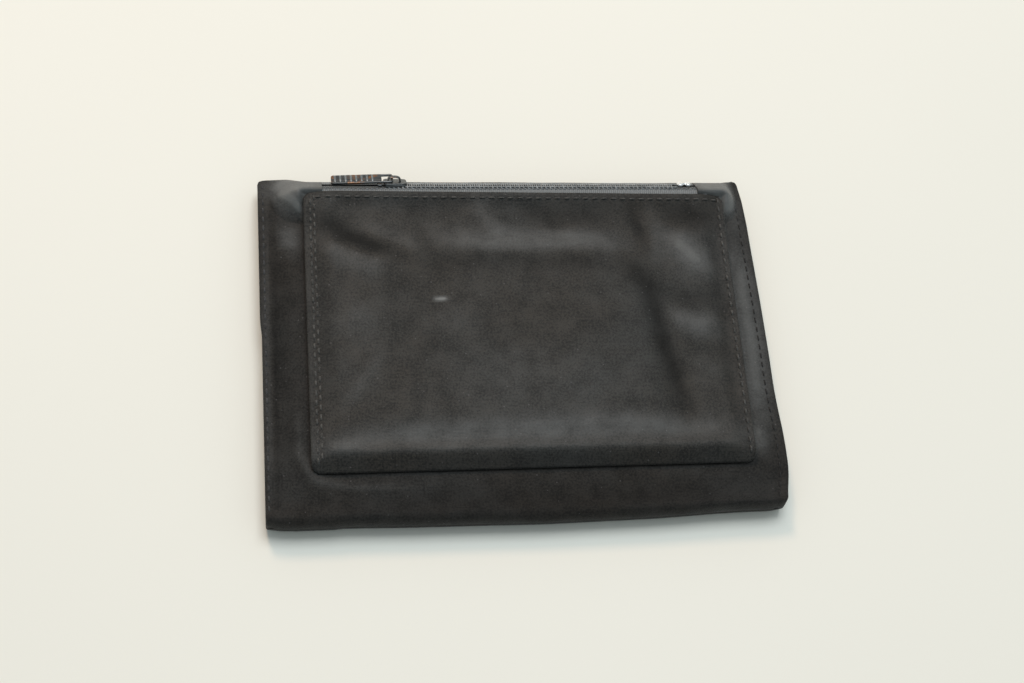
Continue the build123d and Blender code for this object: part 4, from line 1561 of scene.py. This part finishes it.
cover, cover_flat = cover_cloth()
back, back_flat = back_cloth()
cover_inner, cover_inner_flat = lining_sheet("lining_of_cover", True)
back_inner, back_inner_flat = lining_sheet("lining_of_back", False)
front, front_flat = front_pocket()
gusset = pocket_gusset()
tape_front, tape_back = zipper_tapes()
coils = zipper_coils()
patches = end_patches()
stop = bottom_stop()
clips = top_stops()
slider_parts = slider()
pull_parts = pull()
passport, passport_flat = passport_pocket()
passport_wall = passport_gusset()
slip, slip_flat = cover_pocket("slip_pocket", SLIP_LOW, SLIP_HIGH, 51.0)
card, card_flat = cover_pocket("card_pocket", CARD_LOW, CARD_HIGH, 57.0)
boards = [board("cover_board", "cover_stiffener", True), board("back_board", "back_stiffener", False)]
closure = [
    fastener("hook_half", "hook_strip", "cover", -1, 3),
    fastener("loop_half", "loop_strip", "back", 1, 4),
]


# ---------------------------------------------------------------- rows of stitches

def straight(x, y_from, y_to):
    """A row along the holder's short direction."""
    return [(x, y) for y in np.linspace(y_from, y_to, 30)]


def level(y, x_from, x_to):
    """A row along the fold's direction."""
    return [(x, y) for x in np.linspace(x_from, x_to, 30)]


def hem_line(inset):
    """A row that follows the pocket's mouth."""
    x_values = np.linspace(PANEL_LEFT + 3, PANEL_RIGHT - 2, 40)
    return [(x, PANEL_HEM_Y - inset - float(hem_sag(x))) for x in x_values]


def slanted(inset, y_from, y_to):
    """A row that follows the pocket's right edge."""
    return [(float(panel_right(y)) - inset, y) for y in np.linspace(y_from, y_to, 30)]


def bowed(inset, y_from, y_to):
    """A row that follows the cover's right edge."""
    return [(HALF_WIDTH + float(right_bulge(y)) - inset, y) for y in np.linspace(y_from, y_to, 40)]


front_top = surface_of(front)
cover_top = surface_of(cover)
pale_rows = [
    stitch_row("stitch_pocket_hem", hem_line(HEM_ROW), front_top, "cover", radius=HEM_THREAD_RADIUS),
    stitch_row("stitch_pocket_left",
               straight(PANEL_LEFT + LEFT_SEAM_ROWS[0], PANEL_FOLD_Y + 1.6, PANEL_HEM_Y - 1),
               front_top, "cover", radius=SIDE_THREAD_RADIUS),
    stitch_row("stitch_pocket_left_inner",
               straight(PANEL_LEFT + LEFT_SEAM_ROWS[1], PANEL_FOLD_Y + 2.9, PANEL_HEM_Y - 1),
               front_top, "cover", radius=SIDE_THREAD_RADIUS),
    stitch_row("stitch_pocket_right", slanted(RIGHT_SEAM_ROW, PANEL_FOLD_Y + 2, PANEL_HEM_Y - 1),
               front_top, "cover", radius=SIDE_THREAD_RADIUS),
]
tape_row = stitch_row("stitch_tape", level(BAND_CENTRE.y - 2.1, TAPE_LEFT + 1, TAPE_RIGHT - 2),
                      surface_of(tape_front), "cover", length=1.0, pitch=COIL_PITCH, radius=0.16)
# The cover's left row uses the paler thread, which paints the light that falls on it.
lit_lilac_row = stitch_row("stitch_cover_left", straight(-HALF_WIDTH + LEFT_ROW - 0.3, FOLD_Y + 4, EDGE_Y - 1.5),
                       cover_top, "cover")
dark_rows = [
    stitch_row("stitch_cover_right", bowed(RIGHT_ROW, FOLD_Y + 4, EDGE_Y - 1.5), cover_top, "cover"),
]
back_under = surface_of(back)
cover_under = surface_of(cover, cover_inner)
back_inside = surface_of(back, back_inner)
for side, inset in (("left", LEFT_ROW), ("right", RIGHT_ROW)):
    sign = -1 if side == "left" else 1
    row = straight(sign * (HALF_WIDTH - inset), FOLD_Y + 5, EDGE_Y - 1.5)
    dark_rows += [
        stitch_row(f"stitch_back_{side}", row, back_under, "back", BELOW, 1),
        stitch_row(f"stitch_back_inside_{side}", row, back_inside, "back", BETWEEN, -1),
        stitch_row(f"stitch_cover_inside_{side}", row, cover_under, "cover", BETWEEN, 1),
    ]

passport_top = surface_of(passport)
slip_face = surface_of(slip)
card_face = surface_of(card)
left, right = PASSPORT_LOW[0] + PASSPORT_ROW, PASSPORT_HIGH[0] - PASSPORT_ROW
row = open_loop(left, right, right, PASSPORT_LOW[1] + PASSPORT_ROW, PASSPORT_HIGH[1] - 1, 3.0)
dark_rows.append(stitch_row("stitch_passport_sides", row, passport_top, "back"))
for pocket, low, high, face, body, start_z, looking in (
    ("passport", PASSPORT_LOW, PASSPORT_HIGH, passport_top, "back", ABOVE, -1),
    ("slip", SLIP_LOW, SLIP_HIGH, slip_face, "cover", BELOW, 1),
    ("card", CARD_LOW, CARD_HIGH, card_face, "cover", BELOW, 1),
):
    row = level(high[1] - INNER_HEM_ROW, low[0] + 3, high[0] - 3)
    dark_rows.append(stitch_row(f"stitch_{pocket}_hem", row, face, body, start_z, looking))
row = straight(0, CARD_LOW[1] + 2, CARD_HIGH[1] - 1)
dark_rows.append(stitch_row("stitch_card_divider", row, card_face, "cover", BELOW, 1))
inner_pockets = surface_of(slip, card)
for side, sign in (("left", -1), ("right", 1)):
    row = straight(sign * (SLIP_HIGH[0] - 1.6), SLIP_LOW[1] + 2, SLIP_HIGH[1] - 1)
    dark_rows.append(stitch_row(f"stitch_slip_{side}", row, inner_pockets, "cover", BELOW, 1))


# ---------------------------------------------------------------- finishes, baked sheets and sheet sizes

paint(SHELL, cover, back, *patches)
paint(POCKET, front, gusset)
paint(LINING, cover_inner, back_inner, passport, passport_wall, slip, card)
paint(TAPE, tape_front, tape_back)
paint(COIL, *coils)
paint(METAL, clips, *slider_parts, *pull_parts)
paint(RIB_METAL, pull_parts[2])
paint(STOP, stop)
paint(BOARD, *boards)
paint(CLOSURE, *closure)
paint(THREAD_PALE, *pale_rows)
paint(THREAD_LIT_LILAC, lit_lilac_row)
paint(THREAD_SLATE, tape_row)
paint(THREAD_DARK, *dark_rows)

for obj in (cover, cover_inner):
    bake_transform(apply_modifiers(obj))
for obj in (back, back_inner):
    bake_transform(apply_modifiers(obj))

# Strips under 10 mm wide are listed with the sheet that they are sewn to. Each sheet's cut size is worked
# out, and nothing further is done with these lists or sizes here
for obj, flat, held, rests_on, strips in (
    (cover, cover_flat, "stretched", "cover_stiffener", [tape_back, *patches]),
    (back, back_flat, "stretched", "back_stiffener", []),
    (cover_inner, cover_inner_flat, "stretched", "cover_stiffener", []),
    (back_inner, back_inner_flat, "stretched", "back_stiffener", []),
    (front, front_flat, "laid", gusset, [gusset, tape_front]),
    (passport, passport_flat, "laid", passport_wall, [passport_wall]),
    (slip, slip_flat, "stretched", cover_inner, []),
    (card, card_flat, "stretched", slip, []),
):
    flat_size(flat)
    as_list(rests_on)
    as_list(strips)
